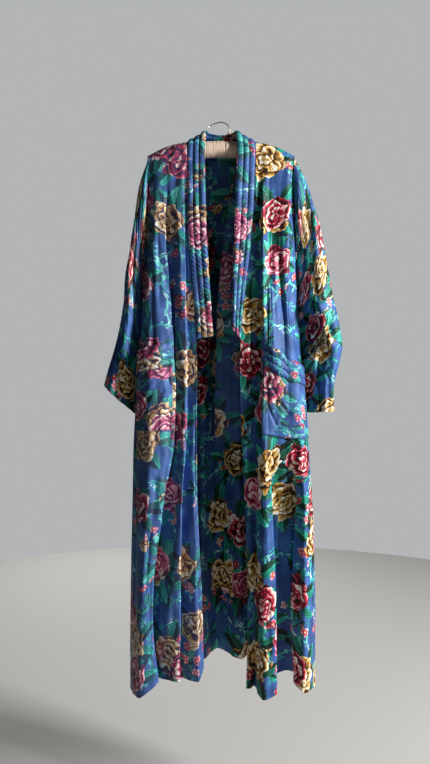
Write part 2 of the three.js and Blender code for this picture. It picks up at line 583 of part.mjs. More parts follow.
// Sash: one strip, up its front tail, over the bar and down its back tail
function sashGeometry() {
  const columns = Array.from({ length: 9 }, (_, i) => -1 + i / 4);
  const keys = SASH_FRONT.map((row) => row.z);
  const value = (name, z) => {
    const height = clamp(z, keys[0], keys[keys.length - 1]);
    return through(keys, SASH_FRONT.map((row) => row[name]), height);
  };
  const top = SASH_FRONT[SASH_FRONT.length - 1];
  const radius = BAR.radius + SASH_REST + CLOTH / 2;
  const front = SASH_HEIGHTS.map((z) => (
    { y: value('y', z), z, middle: value('middle', z), half: value('half', z) }
  ));
  const arc = Array.from({ length: SASH_ARC_STEPS + 1 }, (_, i) => {
    const angle = (Math.PI * i) / SASH_ARC_STEPS;
    const { middle, half } = top;
    return { y: -radius * Math.cos(angle), z: 0, aboveBar: radius * Math.sin(angle), middle, half };
  });
  const behind = SASH_HEIGHTS.slice().reverse().map((z) => {
    const nearBar = clamp((z - SASH_BACK.leaveZ) / SASH_BACK.leaveOver, 0, 1);
    const y = lerp(SASH_BACK.y, radius - SASH_BACK.reach, nearBar);
    return { y, z: Math.max(z, SASH_BACK.bottom), middle: value('middle', z), half: value('half', z) };
  });
  const path = [...front, ...arc, ...behind];
  const rows = path.map(({ y, z, aboveBar, middle, half }) => columns.map((across) => {
    const x = middle + half * across;
    return point(x, y, aboveBar === undefined ? z : barZ(x) + aboveBar);
  }));
  const widest = SASH_FRONT[0].half;
  const lift = (i, j) => {
    const bunched = clamp((widest - path[i].half) / (widest - top.half), 0, 1);
    const wave = Math.sin((Math.PI * SASH_GATHERS.count * (columns[j] + 1)) / 2);
    return path[i].z > SASH_GATHERS.endZ ? 0 : bunched * SASH_GATHERS.depth * wave * wave;
  };
  const sign = normalAt(rows, 0, 4, false).y < 0 ? 1 : -1;
  return wall(rows, CLOTH, { lift: (i, j) => sign * lift(i, j) });
}

// Padded bar: rings of an even section, closed by a point at each end
function barGeometry() {
  const sides = 12;
  const stations = 26;
  const points = [];
  const triangles = [];
  for (let i = 0; i <= stations; i += 1) {
    const x = -Math.cos((Math.PI * i) / stations) * BAR.halfLength * BAR.endInset;
    const roundEnd = Math.sqrt(Math.max(1 - (x / BAR.halfLength) ** BAR.endPower, 0));
    for (let j = 0; j < sides; j += 1) {
      const angle = (j * 2 * Math.PI) / sides;
      const radius = barRadius(x) * roundEnd;
      points.push(point(x, radius * Math.cos(angle), barZ(x) + radius * Math.sin(angle)));
    }
  }
  const tips = [-1, 1].map((end) => points.push(point(end * BAR.halfLength, 0, barZ(BAR.halfLength))) - 1);
  for (let i = 0; i < stations; i += 1) {
    for (let j = 0; j < sides; j += 1) {
      const next = (j + 1) % sides;
      const [a, b, c, d] = [i * sides + j, (i + 1) * sides + j, (i + 1) * sides + next, i * sides + next];
      triangles.push(a, b, c, a, c, d);
    }
  }
  for (let j = 0; j < sides; j += 1) {
    const next = (j + 1) % sides;
    triangles.push(tips[0], j, next);
    triangles.push(tips[1], stations * sides + next, stations * sides + j);
  }
  return solid(points, triangles);
}

// Wire hook: a round wire from the bar's top, round the right side and over to its tip
function hookGeometry() {
  const seat = barZ(WIRE_SEAT.x) + BAR.radius + WIRE_SEAT.above;
  const stem = [{ x: WIRE_SEAT.x, z: seat }, { x: WIRE_SEAT.x + 1, z: seat + 6 }];
  const places = [...stem, ...WIRE_ROUTE].map(({ x, z }) => point(x, 0, z));
  const route = new THREE.CatmullRomCurve3(places, false, 'centripetal');
  const section = new THREE.Shape();
  section.absarc(0, 0, WIRE_RADIUS, 0, 2 * Math.PI, false);
  const options = { steps: 26, curveSegments: 4, bevelEnabled: false, extrudePath: route };
  return new THREE.ExtrudeGeometry(section, options);
}

const clothMaterial = new THREE.MeshStandardMaterial({ color: 0x4a5c9e, roughness: 0.72, metalness: 0 });
const bandMaterial = new THREE.MeshStandardMaterial({ color: 0x42548f, roughness: 0.7, metalness: 0 });
const satinMaterial = new THREE.MeshStandardMaterial({ color: 0xe6cdb8, roughness: 0.45, metalness: 0 });
const wireMaterial = new THREE.MeshStandardMaterial({ color: 0xc9b98a, roughness: 0.3, metalness: 1 });

const object = new THREE.Group();
function add(name, geometry, material) {
  const mesh = new THREE.Mesh(geometry, material);
  mesh.name = name;
  object.add(mesh);
}

const shoulderRims = { first: () => Y_AXIS, start: sideRim, end: () => X_AXIS };
add('front_right', panelGeometry(rightFront, shoulderRims), clothMaterial);
add('front_left', panelGeometry(leftFront, shoulderRims), clothMaterial);
const topRim = (i, j) => (NECK_COLUMNS.slice(1, -1).includes(back.columns[j]) ? Z_AXIS : Y_AXIS);
add('back', panelGeometry(back, { first: topRim, start: sideRim, end: sideRim }), clothMaterial);
add('sleeve_right', sleeveGeometry(RIGHT_SLEEVE, -1, RIGHT_RINGS_PER_ROW, () => 0), clothMaterial);
add('sleeve_left', sleeveGeometry(LEFT_SLEEVE, 1, LEFT_RINGS_PER_ROW, elbowDepth), clothMaterial);
add('band_right', bandGeometry(rightFront, RIGHT_FRONT.length - 1, RIGHT_BAND_EDGE, -1), bandMaterial);
add('band_left', bandGeometry(leftFront, LEFT_FRONT.length - 1, LEFT_BAND_EDGE, 1), bandMaterial);
add('band_neck', neckBandGeometry(), bandMaterial);
const rightPocket = pocketGeometries(rightFront, RIGHT_POCKET, -1);
add('pocket_right', rightPocket.body, clothMaterial);
add('pocket_band_right', rightPocket.band, bandMaterial);
const leftPocket = pocketGeometries(leftFront, LEFT_POCKET, 1);
add('pocket_left', leftPocket.body, clothMaterial);
add('pocket_band_left', leftPocket.band, bandMaterial);
add('sash', sashGeometry(), clothMaterial);
add('hanger_bar', barGeometry(), satinMaterial);
add('hanger_hook', hookGeometry(), wireMaterial);

export default object;
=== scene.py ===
# A full-length kimono robe of printed viscose on a padded satin hanger.
# The robe's pieces are thin cloth shells on the frame's solids, with finer folds and a floral print.
# Tables are in millimetres, as the garment is cut; meshes are in metres.

import math

import bpy
import numpy as np
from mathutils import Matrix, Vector


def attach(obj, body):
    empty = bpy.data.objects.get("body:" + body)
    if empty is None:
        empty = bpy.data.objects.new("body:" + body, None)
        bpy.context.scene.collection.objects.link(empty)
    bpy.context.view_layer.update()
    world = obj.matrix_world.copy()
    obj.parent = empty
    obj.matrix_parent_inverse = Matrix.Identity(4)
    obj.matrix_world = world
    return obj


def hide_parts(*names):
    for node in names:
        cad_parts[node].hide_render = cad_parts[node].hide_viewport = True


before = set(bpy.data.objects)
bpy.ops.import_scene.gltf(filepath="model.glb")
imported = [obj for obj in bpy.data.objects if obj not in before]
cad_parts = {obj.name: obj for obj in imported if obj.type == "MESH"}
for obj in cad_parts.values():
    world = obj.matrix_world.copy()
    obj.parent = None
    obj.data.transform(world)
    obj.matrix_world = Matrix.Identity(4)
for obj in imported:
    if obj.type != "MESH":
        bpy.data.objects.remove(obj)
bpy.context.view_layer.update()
MM = 0.001

# Camera of the photograph: 1.6 m in front of the hanger, level, upright frame
CAMERA_PLACE = (-0.0153, -1.6, -0.6605)
FRAME_HEIGHT_PX = 764
FOCAL_PX = 627.45
SENSOR_MM = 24.0

# Cloth
CLOTH = 0.9
BAND_CLOTH = 1.1
SEAM_GAP = 0.4

# Padded hanger
BAR = {"half": 175, "centre_z": -67.6, "drop": 30, "drop_at": 183, "radius": 21.5,
       "taper": 10, "taper_from": 110, "taper_to": 180, "end_inset": 0.985, "end_power": 12}
# Ruching of the bar's satin: turns per mm along it, phase and height, and how the small ruches wander
RUCHES = {"fine": (1.02, 0, 0.5), "tight": (1.9, 1.1, 0.3), "wander": (0.23, 1.4), "round": (0.17, 0.6)}
RUCHE_SINK = 1.0
# Clearance of the cloth over the bar and in front of it, and the back's depth behind the bar's axis
REST = 1.3
LOOSE = 4.0
BACK_DEPTH = 28

ARMHOLE = {"top_z": -84, "bottom_z": -330, "top_x": 183, "half_depth": 22, "round": 0.35}
ARMHOLE_BOTTOM_X = {-1: 193.2, 1: 190.5}
NECK_HALF = 86
SHOULDER_Z = -100
WAIST_Z = -555
STATIONS = np.array([100, 285, 555, 805, 950, 1200, 1430], float)
# Rows of a panel: shares of the way over the bar, then heights down to the armhole's foot
BAR_SHARES = np.linspace(0, 1, 13)
ARMHOLE_ROWS = np.linspace(SHOULDER_Z, -331, 24)[1:]

# Fold lines from side seam to free edge: x and y at the stations, and the hem's height
RIGHT_FRONT = [
    ("side seam", [-186, -191, -207, -222, -225, -230, -230], [0, 0, 0, 0, 0, 0, 0], -1436),
    ("side turn", [-178, -184, -205, -219, -222, -227, -228], [-14, -16, -12, -14, -16, -18, -20], -1432),
    ("outer panel", [-163, -167, -175, -182, -183, -192, -196], [-26, -38, -54, -66, -74, -84, -92], -1421),
    ("outer fold", [-143, -140, -119, -118, -141, -167, -151], [-26, -36, -50, -60, -70, -78, -84], -1388),
    ("first recess", [-133, -133, -116, -116, -147, -174, -159], [-26, -31, -38, -40, -40, -40, -42], -1392),
    ("inner panel", [-123, -122, -112, -109, -109, -150, -142], [-26, -36, -46, -52, -56, -62, -66], -1386),
    ("inner fold", [-101, -92, -87, -88, -96, -100, -101], [-26, -40, -54, -62, -70, -82, -88], -1384),
    ("second recess", [-93, -89, -85, -86, -100, -107, -109], [-26, -32, -38, -40, -41, -43, -46], -1390),
    ("edge fold", [-89, -86, -70, -67, -66, -62, -54], [-26, -33, -42, -48, -54, -64, -70], -1393),
    ("free edge", [-86, -84, -62, -60, -59, -47, -42], [-26, -34, -44, -48, -50, -54, -54], -1366),
]
LEFT_FRONT = [
    ("side seam", [186, 189, 201, 221, 231, 238, 240], [0, 0, 0, 0, 0, 0, 0], -1430),
    ("side turn", [178, 182, 198, 218, 228, 235, 237], [-14, -16, -12, -14, -16, -18, -20], -1424),
    ("outer panel", [168, 164, 172, 197, 204, 205, 199], [-26, -36, -50, -58, -68, -82, -92], -1409),
    ("outer fold", [148, 145, 156, 172, 185, 172, 178], [-26, -33, -51, -60, -56, -64, -72], -1392),
    ("recess outer foot", [138, 135, 143, 154, 189, 182, 186], [-26, -31, -51, -60, -36, -36, -38], -1386),
    ("recess inner foot", [128, 125, 130, 142, 156, 154, 162], [-26, -31, -52, -62, -40, -34, -34], -1380),
    ("under the ridge", [119, 119, 120, 124, 121, 129, 131], [-26, -30, -54, -64, -42, -40, -42], -1392),
    ("ridge fold", [115, 114, 115, 115, 122, 131, 134], [-26, -36, -57, -67, -72, -86, -92], -1408),
    ("ridge", [104, 103, 103, 99, 99, 102, 99], [-26, -43, -60, -70, -78, -92, -102], -1420),
    ("edge recess", [93, 91, 89, 84, 80, 80, 81], [-26, -32, -40, -44, -46, -52, -56], -1408),
    ("edge panel", [90, 84, 69, 68, 69, 72, 70], [-26, -35, -45, -49, -52, -56, -62], -1412),
    ("free edge", [87, 78, 49, 51, 58, 65, 61], [-26, -34, -44, -48, -50, -54, -58], -1414),
]

# Fold lines of the back: x at the bar, waist and hem, depth and the hem's height
BACK_FOLDS = [
    ("right outer", -154, -162, -182, 60, -1412),
    ("right hollow", -118, -117, -126, 20, -1396),
    ("right inner", -NECK_HALF, -84, -86, 62, -1384),
    ("centre right hollow", -52, -52, -46, 16, -1374),
    ("centre", -8, -8, -8, 64, -1366),
    ("centre left hollow", 36, 42, 50, 24, -1378),
    ("left inner", NECK_HALF, 80, 82, 60, -1374),
    ("left hollow", 118, 112, 118, 22, -1390),
    ("left outer", 154, 160, 182, 58, -1408),
]
BACK_SHARE = [0, 0.35, 0.75, 0.9, 1, 1, 1]

# Sleeve rings: top fold x and z, underarm seam x and z, its tuck behind the side seam, reach forward, back
RIGHT_SLEEVE = [
    (-189, -106, -199, -333, 0, 27, 28), (-203, -146, -196.6, -356, 12, 32, 36),
    (-214, -200, -196.6, -385, 22, 36, 42), (-222, -262, -198.4, -420, 26, 39, 46),
    (-231, -320, -200.8, -458, 26, 42, 50), (-240, -382, -203.4, -500, 26, 44, 53),
    (-246, -444, -206.4, -548, 26, 45, 55), (-254, -508, -209.3, -596, 26, 46, 56),
    (-267, -566, -212.7, -648, 26, 48, 57), (-285, -626, -216, -700, 26, 50, 57),
    (-296, -668, -218.5, -742, 26, 51, 56),
]
LEFT_SLEEVE = [
    (192, -102, 197, -333, 0, 27, 28), (206, -128, 191.6, -354, 12, 31, 34),
    (222, -168, 190, -380, 22, 35, 40), (236, -214, 190.6, -410, 26, 38, 45),
    (250, -262, 192.6, -442, 26, 41, 49), (262, -322, 194.2, -478, 26, 43, 52),
    (274, -390, 196.4, -518, 26, 45, 54), (287, -452, 198.8, -558, 26, 47, 56),
    (303, -522, 201.6, -596, 26, 50, 58), (309, -566, 204.4, -626, 26, 52, 60),
    (301, -606, 207.4, -656, 26, 48, 57), (288, -650, 211.4, -692, 26, 46, 54),
    (284, -692, 216.4, -718, 26, 47, 54), (284, -734, 218.1, -738, 26, 47, 54),
]
# Slow folds round a sleeve, and how much they swell its depth and push it outwards
SLEEVE_FOLD = {"count": 3, "depth": 3.4, "turn": 0.5, "swell": 1 / 60, "out": 0.6}
SLEEVE_RIPPLE = 0.7
SLEEVE_ROUNDNESS = 0.8
SLEEVE_SIDES = 96
RINGS_PER_ROW = 9
SLEEVE_HEAD = {"out": 1.5 * SEAM_GAP, "inset": 2}
# Folds pressed into the left sleeve's front: a line in XZ from one end to the other, half width and depth
ELBOW_FOLDS = [
    (200, -486, 264, -530, 15, 17), (212, -448, 276, -490, 16, -6), (262, -566, 242, -660, 12, 8),
]

# Free edges of the bands: height of the seam, then x, y and z of the edge
RIGHT_BAND_EDGE = [
    (-50, -36, 2, -18), (-57, -37, -12, -27), (-65, -38.5, -22, -42), (-76, -40.5, -28, -66),
    (-100, -41, -31, -98), (-130, -40.5, -33, -130), (-285, -36, -40, -285), (-430, -28, -45, -428),
    (-555, -20, -50, -548),
]
LEFT_BAND_EDGE = [
    (-50, 36, 2, -18), (-57, 37, -14, -27), (-65, 38.5, -25, -42), (-76, 40.5, -31, -66),
    (-100, 40.5, -33, -98), (-130, 39, -34, -130), (-285, 33, -41, -285), (-430, 29, -48, -420),
    (-555, 28, -54, -532),
]
NECK_EDGE = {"half": 36, "y": 2, "lean": 6, "z": -18, "dip": 4}
TUCK_STARTS = [0.02, 0.345, 0.67]
TUCK_WIDTH = 0.31
TUCK_LIFT = 3.2
# Uneven height of the tucks, in waves along the band and across it
TUCK_WAVER = {"depth": 0.25, "along": 23, "phase": 1.3, "across": 9}
# Slanting pull wrinkles on the bands' tucks: their period along the band, periods across it, depth, how they
# wander along the band, and the share of the band above which they are weak
PULL = {"period": 11.5, "slant": 3.2, "depth": 1.2, "wander": 0.35, "wander_over": 31.0, "weak": 0.35,
        "weak_until": 0.25}
BAND_STEP = 2.4

RIGHT_POCKET = {"outer": 1.2, "inner": 2.9, "bottom": (-782, -778), "top": (-592, -562), "pouch": 15}
LEFT_POCKET = {"outer": 1.1, "inner": 7.9, "bottom": (-802, -788), "top": (-622, -553), "pouch": 15}
POCKET_BAND_SHARE = 0.28
POCKET_LIFT = 4.2
POCKET_TUCK_LIFT = 2.6
POCKET_TURN = 1.1
POCKET_COUNT = 80
# A pocket's fullness: how its sides and its height round off, and how far up its fullest part lies
POUCH = {"side_power": 0.7, "up_power": 0.8, "up_angle": 1.5}
DRAG_TALL = 1.6
# Reach over which the pocket takes the panel's slope: in fold lines and in height
SLOPE_REACH = {"u": 0.3, "z": 20}

# Sash: height, y, middle and half width of its front tail, from its end up to the bar
SASH_FRONT = [
    (-812, -9, 17.5, 33), (-640, -10, 17.5, 32), (-450, -12, 19, 26), (-285, -13, 27, 18),
    (-160, -17, 42, 11.5), (-95, -21.5, 48, 9),
]
SASH_BACK = {"bottom": -770, "y": 6, "leave_z": -400, "leave_over": 300}
SASH_GATHERS = {"count": 3, "depth": 2.2, "end_z": -230}
SASH_OVER_BAR = 1.3
# Lengthwise hollow and ridge of the sash: place on its half width, width and height
SASH_FOLDS = [(-0.35, 0.16, 1.6), (0.4, 0.2, -1.8)]
SASH_ROWS = 110

# Columns between two fold lines, and the height between two rows
STEPS = 12
ROW_STEP = 8.0
# Where the stitching runs, in from each kind of edge
HEM_STITCH = 14
EDGE_STITCH = 6
POCKET_STITCH = 3
NO_EDGE = 1000
# Ripples: how many waves, their lengths across and down the cloth, and the cells that stay still at edges
RIPPLE = {"waves": 9, "across": (22, 60), "down": (150, 420), "still_rows": 10, "still_columns": 8}
CREASE_SHARPNESS = 1.35
CREASE_WAVER = {"u": 0.05, "turns": 5}
CREASE_STILL_ROWS = 6
# A wall's edges are shaded sharp where its faces meet at more than this angle
SHARP_DEGREES = 62
X_AXIS = (1, 0, 0)
Y_AXIS = (0, 1, 0)


# Curves and sections
def cubic(t, span, a, b, slope_a, slope_b):
    """Cubic curve from a to b, at the share t of a span, with a slope at each end."""
    return ((2 * t**3 - 3 * t**2 + 1) * a + (t**3 - 2 * t**2 + t) * span * slope_a
            + (3 * t**2 - 2 * t**3) * b + (t**3 - t**2) * span * slope_b)


def through(keys, values, at):
    """Smooth curve through values at rising keys, evaluated at an array of places."""
    keys = np.asarray(keys, float)
    values = np.asarray(values, float)
    at = np.asarray(at, float)
    last = len(keys) - 1
    i = np.clip(np.searchsorted(keys, at, side="right") - 1, 0, last - 1)
    before = np.maximum(i - 1, 0)
    after = np.minimum(i + 2, last)
    span = keys[i + 1] - keys[i]
    t = np.clip((at - keys[i]) / span, 0, 1)
    slope_a = (values[i + 1] - values[before]) / (keys[i + 1] - keys[before])
    slope_b = (values[after] - values[i]) / (keys[after] - keys[i])
    return cubic(t, span, values[i], values[i + 1], slope_a, slope_b)


def across(folds, u):
    """Smooth section through each row of fold points; folds is (count, folds, 3), u is (count,)."""
    gaps = np.maximum(np.linalg.norm(np.diff(folds, axis=1), axis=2), 0.5)
    keys = running(gaps, axis=1)
    last = folds.shape[1] - 1
    row = np.arange(len(folds))
    i = np.clip(np.floor(u).astype(int), 0, last - 1)
    before = np.maximum(i - 1, 0)
    after = np.minimum(i + 2, last)
    t = (u - i)[:, None]
    span = (keys[row, i + 1] - keys[row, i])[:, None]
    slope_a = (folds[row, i + 1] - folds[row, before]) / (keys[row, i + 1] - keys[row, before])[:, None]
    slope_b = (folds[row, after] - folds[row, i]) / (keys[row, after] - keys[row, i])[:, None]
    return cubic(t, span, folds[row, i], folds[row, i + 1], slope_a, slope_b)


def lerp(a, b, share):
    return a + (b - a) * share


def bell(distance, width):
    return np.exp(-(distance / width) ** 2)


def running(steps, axis=0):
    """Running total of steps along an axis, which starts at nought."""
    return np.insert(np.cumsum(steps, axis=axis), 0, 0, axis=axis)


def unit(vectors):
    return vectors / np.maximum(np.linalg.norm(vectors, axis=-1, keepdims=True), 1e-9)


def outwards(normals, wrong):
    """Normals turned round where a test says that they point the wrong way."""
    return np.where(wrong, -normals, normals)


# The hanger's bar and the cloth over it
def bar_z(x):
    return BAR["centre_z"] - BAR["drop"] * (np.asarray(x) / BAR["drop_at"]) ** 2


def bar_radius(x):
    share = np.clip((np.abs(x) - BAR["taper_from"]) / (BAR["taper_to"] - BAR["taper_from"]), 0, 1)
    return BAR["radius"] - BAR["taper"] * share**2


def clear_of_bar(x, side):
    """How far in front of the bar's axis (side -1) or behind it (side 1) the cloth hangs at the shoulder."""
    if side < 0:
        return bar_radius(x) + LOOSE + CLOTH / 2
    return BACK_DEPTH - (BAR["radius"] - bar_radius(x))


def over_bar(x, share, side, start_sine):
    """Row of points at a share of the way round the bar and down to the shoulder's height."""
    up = bar_radius(x) + REST + CLOTH / 2
    out = clear_of_bar(x, side)
    start = np.arcsin(np.clip(start_sine, 0, 1))
    arc = start * up
    straight = bar_z(x) - SHOULDER_Z
    along = share * (arc + straight)
    angle = np.where(arc > 0, start * (1 - along / np.maximum(arc, 1e-6)), 0)
    on_arc = along < arc
    y = np.where(on_arc, side * out * np.cos(angle), side * out)
    z = np.where(on_arc, bar_z(x) + up * np.sin(angle), bar_z(x) - (along - arc))
    return np.stack([x, y, z], axis=1)


ARMHOLE_MIDDLE = (ARMHOLE["top_z"] + ARMHOLE["bottom_z"]) / 2
ARMHOLE_HALF = (ARMHOLE["top_z"] - ARMHOLE["bottom_z"]) / 2


def armhole(z, sign):
    """The armhole's x and half depth at heights z; sign is the side of the body."""
    off = np.clip((z - ARMHOLE_MIDDLE) / ARMHOLE_HALF, -1, 1)
    depth = ARMHOLE["half_depth"] * (1 - off * off) ** ARMHOLE["round"]
    share = np.clip((ARMHOLE["top_z"] - z) / (2 * ARMHOLE_HALF), 0, 1)
    return sign * lerp(ARMHOLE["top_x"], ARMHOLE_BOTTOM_X[sign], share), depth


class Panel:
    """A hanging panel made from a table of fold lines; u counts the fold lines. side is -1 for a front and
    1 for the back, and seams lists the side seams as a fold line and the side of the body."""

    def __init__(self, folds, side, seams):
        self.folds = folds
        self.side = side
        self.seams = seams
        self.last = len(folds) - 1

    def section(self, z, u):
        """One row of points: the section through the fold lines at height z."""
        z = np.broadcast_to(np.asarray(z, float), u.shape)
        down = np.clip(-z, STATIONS[0], STATIONS[-1])
        columns = []
        for _, x, y, _ in self.folds:
            ys = [self.side * float(clear_of_bar(x[0], self.side))] + list(y[1:])
            columns.append(np.stack([through(STATIONS, x, down), through(STATIONS, ys, down), z], axis=1))
        return across(np.stack(columns, axis=1), u)

    def hem(self, u):
        """Height of the lower edge at each column."""
        line = np.array([[i, fold[3], 0] for i, fold in enumerate(self.folds)], float)
        return across(np.repeat(line[None], len(u), axis=0), u)[:, 1]

    def grid(self, u):
        """Rows of points from the bar to the hem, on the columns u."""
        x_top = self.section(SHOULDER_Z, u)[:, 0]
        sine = np.ones_like(u) if self.side < 0 else np.abs(x_top) / NECK_HALF
        rows = [over_bar(x_top, share, self.side, sine) for share in BAR_SHARES]
        rows += [self.section(z, u) for z in ARMHOLE_ROWS]
        hem = self.hem(u)
        count = int(round((abs(hem.mean()) + ARMHOLE_ROWS[-1]) / ROW_STEP))
        for i in range(1, count + 1):
            rows.append(self.section(lerp(ARMHOLE_ROWS[-1], hem, i / count), u))
        grid = np.stack(rows)
        for at, sign in self.seams:
            column = int(np.argmin(np.abs(u - at)))
            z = grid[:, column, 2]
            hole_x, hole_depth = armhole(z, sign)
            open_part = z > ARMHOLE["bottom_z"]
            grid[:, column, 0] = np.where(open_part, hole_x, grid[:, column, 0])
            depth = np.where(open_part, np.maximum(hole_depth, SEAM_GAP / 2), SEAM_GAP / 2)
            grid[:, column, 1] = self.side * depth
        top = grid[0]
        top[:, 1] = self.side * np.maximum(np.abs(top[:, 1]), SEAM_GAP / 2)
        if self.side > 0:
            top[np.abs(top[:, 0]) < NECK_HALF, 2] -= SEAM_GAP
        return grid


# Walls
def normals_of(grid, ring=False):
    """Unit normals of a grid; a ring's columns join up."""
    if ring:
        across_rows = np.roll(grid, -1, axis=1) - np.roll(grid, 1, axis=1)
    else:
        across_rows = np.gradient(grid, axis=1)
    down_rows = np.gradient(grid, axis=0)
    return unit(np.cross(down_rows, across_rows))


def flat_lengths(grid):
    """Flat-cloth coordinates in millimetres: along the rows, and down the columns."""
    u = running(np.linalg.norm(np.diff(grid, axis=1), axis=2), axis=1)
    middle = grid[:, grid.shape[1] // 2]
    v = running(np.linalg.norm(np.diff(middle, axis=0), axis=1))
    return u, np.repeat(v[:, None], grid.shape[1], axis=1)


def from_last_row(grid):
    """Distance of each point from the piece's lower edge, along its own column."""
    down = running(np.linalg.norm(np.diff(grid, axis=0), axis=2))
    return down[-1:] - down


def from_sides(u):
    """Distance from the nearer side edge, for flat coordinates along the rows."""
    return np.minimum(u, u[:, -1:] - u)


def rippled(grid, flat, seed, depth=0.9):
    """Shallow uneven ripples of thin cloth, longer down the cloth than across it."""
    draw = np.random.default_rng(seed)
    u, v = flat
    height = np.zeros_like(u)
    for _ in range(RIPPLE["waves"]):
        wide = draw.uniform(*RIPPLE["across"])
        tall = draw.uniform(*RIPPLE["down"]) * draw.choice([-1, 1])
        bend = draw.uniform(0.5, 1.6) * np.sin(v / draw.uniform(90, 180) + draw.uniform(0, 6))
        height += np.sin(math.tau * (u / wide + v / tall) + bend + draw.uniform(0, 6))
    height *= depth / math.sqrt(RIPPLE["waves"])
    rows = np.arange(len(grid))[:, None] / RIPPLE["still_rows"]
    columns = np.arange(grid.shape[1])[None, :]
    keep = np.clip(rows, 0, 1) * np.clip(from_sides(columns) / RIPPLE["still_columns"], 0, 1)
    return grid + normals_of(grid) * (height * keep)[:, :, None]


def wall(name, grid, thickness, place, edge, ring=False, rims=None, flat=None, reverse=1):
    """Closed thin wall round a grid of middle points, as a finished piece of cloth. place is its cut's place
    on the cloth in metres, edge how far each point lies inside the stitching, flat its flat coordinates where
    they don't start at the first column, rims the rows whose thickness lies square to an axis, and reverse
    is -1 where the grid's outer side is the cloth's wrong side."""
    normal = normals_of(grid, ring)
    for row, axis in (rims or {}).items():
        axis = np.asarray(axis, float)
        normal[row] = unit(normal[row] - (normal[row] @ axis)[:, None] * axis)
    outer = grid + normal * thickness / 2
    inner = grid - normal * thickness / 2
    high, wide = grid.shape[:2]
    columns = wide if ring else wide - 1

    def corner(layer, i, j):
        """A corner's place in the mesh's points and in the flat-cloth values, which don't wrap round."""
        row = layer * high + i
        return np.stack([row * wide + j % wide, row * (columns + 1) + j], axis=-1)

    def quads(*places):
        return np.stack([corner(*place) for place in places], axis=1)

    i, j = (index.ravel() for index in np.meshgrid(np.arange(high - 1), np.arange(columns), indexing="ij"))
    front = quads((0, i, j), (0, i + 1, j), (0, i + 1, j + 1), (0, i, j + 1))
    back = quads((1, i, j), (1, i, j + 1), (1, i + 1, j + 1), (1, i + 1, j))
    j = np.arange(columns)
    low = high - 1
    rim = [quads((0, 0, j), (0, 0, j + 1), (1, 0, j + 1), (1, 0, j)),
           quads((0, low, j + 1), (0, low, j), (1, low, j), (1, low, j + 1))]
    if not ring:
        i = np.arange(high - 1)
        end = wide - 1
        rim.append(quads((0, i + 1, 0), (0, i, 0), (1, i, 0), (1, i + 1, 0)))
        rim.append(quads((0, i, end), (0, i + 1, end), (1, i + 1, end), (1, i, end)))
    corners = np.concatenate([front, back] + rim)
    faces = corners[:, :, 0]
    points = np.concatenate([outer.reshape(-1, 3), inner.reshape(-1, 3)]) * MM
    mesh = bpy.data.meshes.new(name)
    mesh.from_pydata(points.tolist(), [], faces.tolist())
    u, v = flat_lengths(grid) if flat is None else flat
    cloth = (u * MM + place[0], v * MM + place[1])
    stitches = ((u + v) * MM, edge * MM)
    for layer_name, pair in (("flat_cloth", cloth), ("stitching", stitches)):
        values = np.stack(pair, axis=2).reshape(-1, 2)
        values = np.concatenate([values, values])[corners[:, :, 1].ravel()]
        layer = mesh.uv_layers.new(name=layer_name)
        layer.data.foreach_set("uv", values.ravel().astype(np.float32))
    side = np.concatenate([np.zeros(len(front)), np.ones(len(back)), np.zeros(len(faces) - 2 * len(front))])
    if reverse < 0:
        side[: 2 * len(front)] = 1 - side[: 2 * len(front)]
    mesh.polygons.foreach_set("material_index", side.astype(np.int32))
    mesh.polygons.foreach_set("use_smooth", np.ones(len(faces), bool))
    mesh.update()
    face_outwards(mesh)
    mesh.set_sharp_from_angle(angle=math.radians(SHARP_DEGREES))
    mesh.materials.append(CLOTH_FACE)
    mesh.materials.append(CLOTH_REVERSE)
    finish_piece(mesh, name.replace("cloth_", ""))


def finish_piece(mesh, replaced):
    """Puts a mesh in the scene under its own name, in place of the solid that it dresses."""
    piece = bpy.data.objects.new(mesh.name, mesh)
    bpy.context.collection.objects.link(piece)
    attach(piece, "root")
    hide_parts(replaced)
    return piece


def face_outwards(mesh):
    """Turns the faces round if the wall's grid runs the other way, so that its volume is negative."""
    points = np.empty(len(mesh.vertices) * 3)
    mesh.vertices.foreach_get("co", points)
    points = points.reshape(-1, 3)
    corners = np.array([polygon.vertices[:4] for polygon in mesh.polygons])
    a, b, c, d = (points[corners[:, k]] for k in range(4))
    volume = (np.einsum("ij,ij->i", a, np.cross(b, c)) + np.einsum("ij,ij->i", a, np.cross(c, d))).sum()
    if volume < 0:
        mesh.flip_normals()


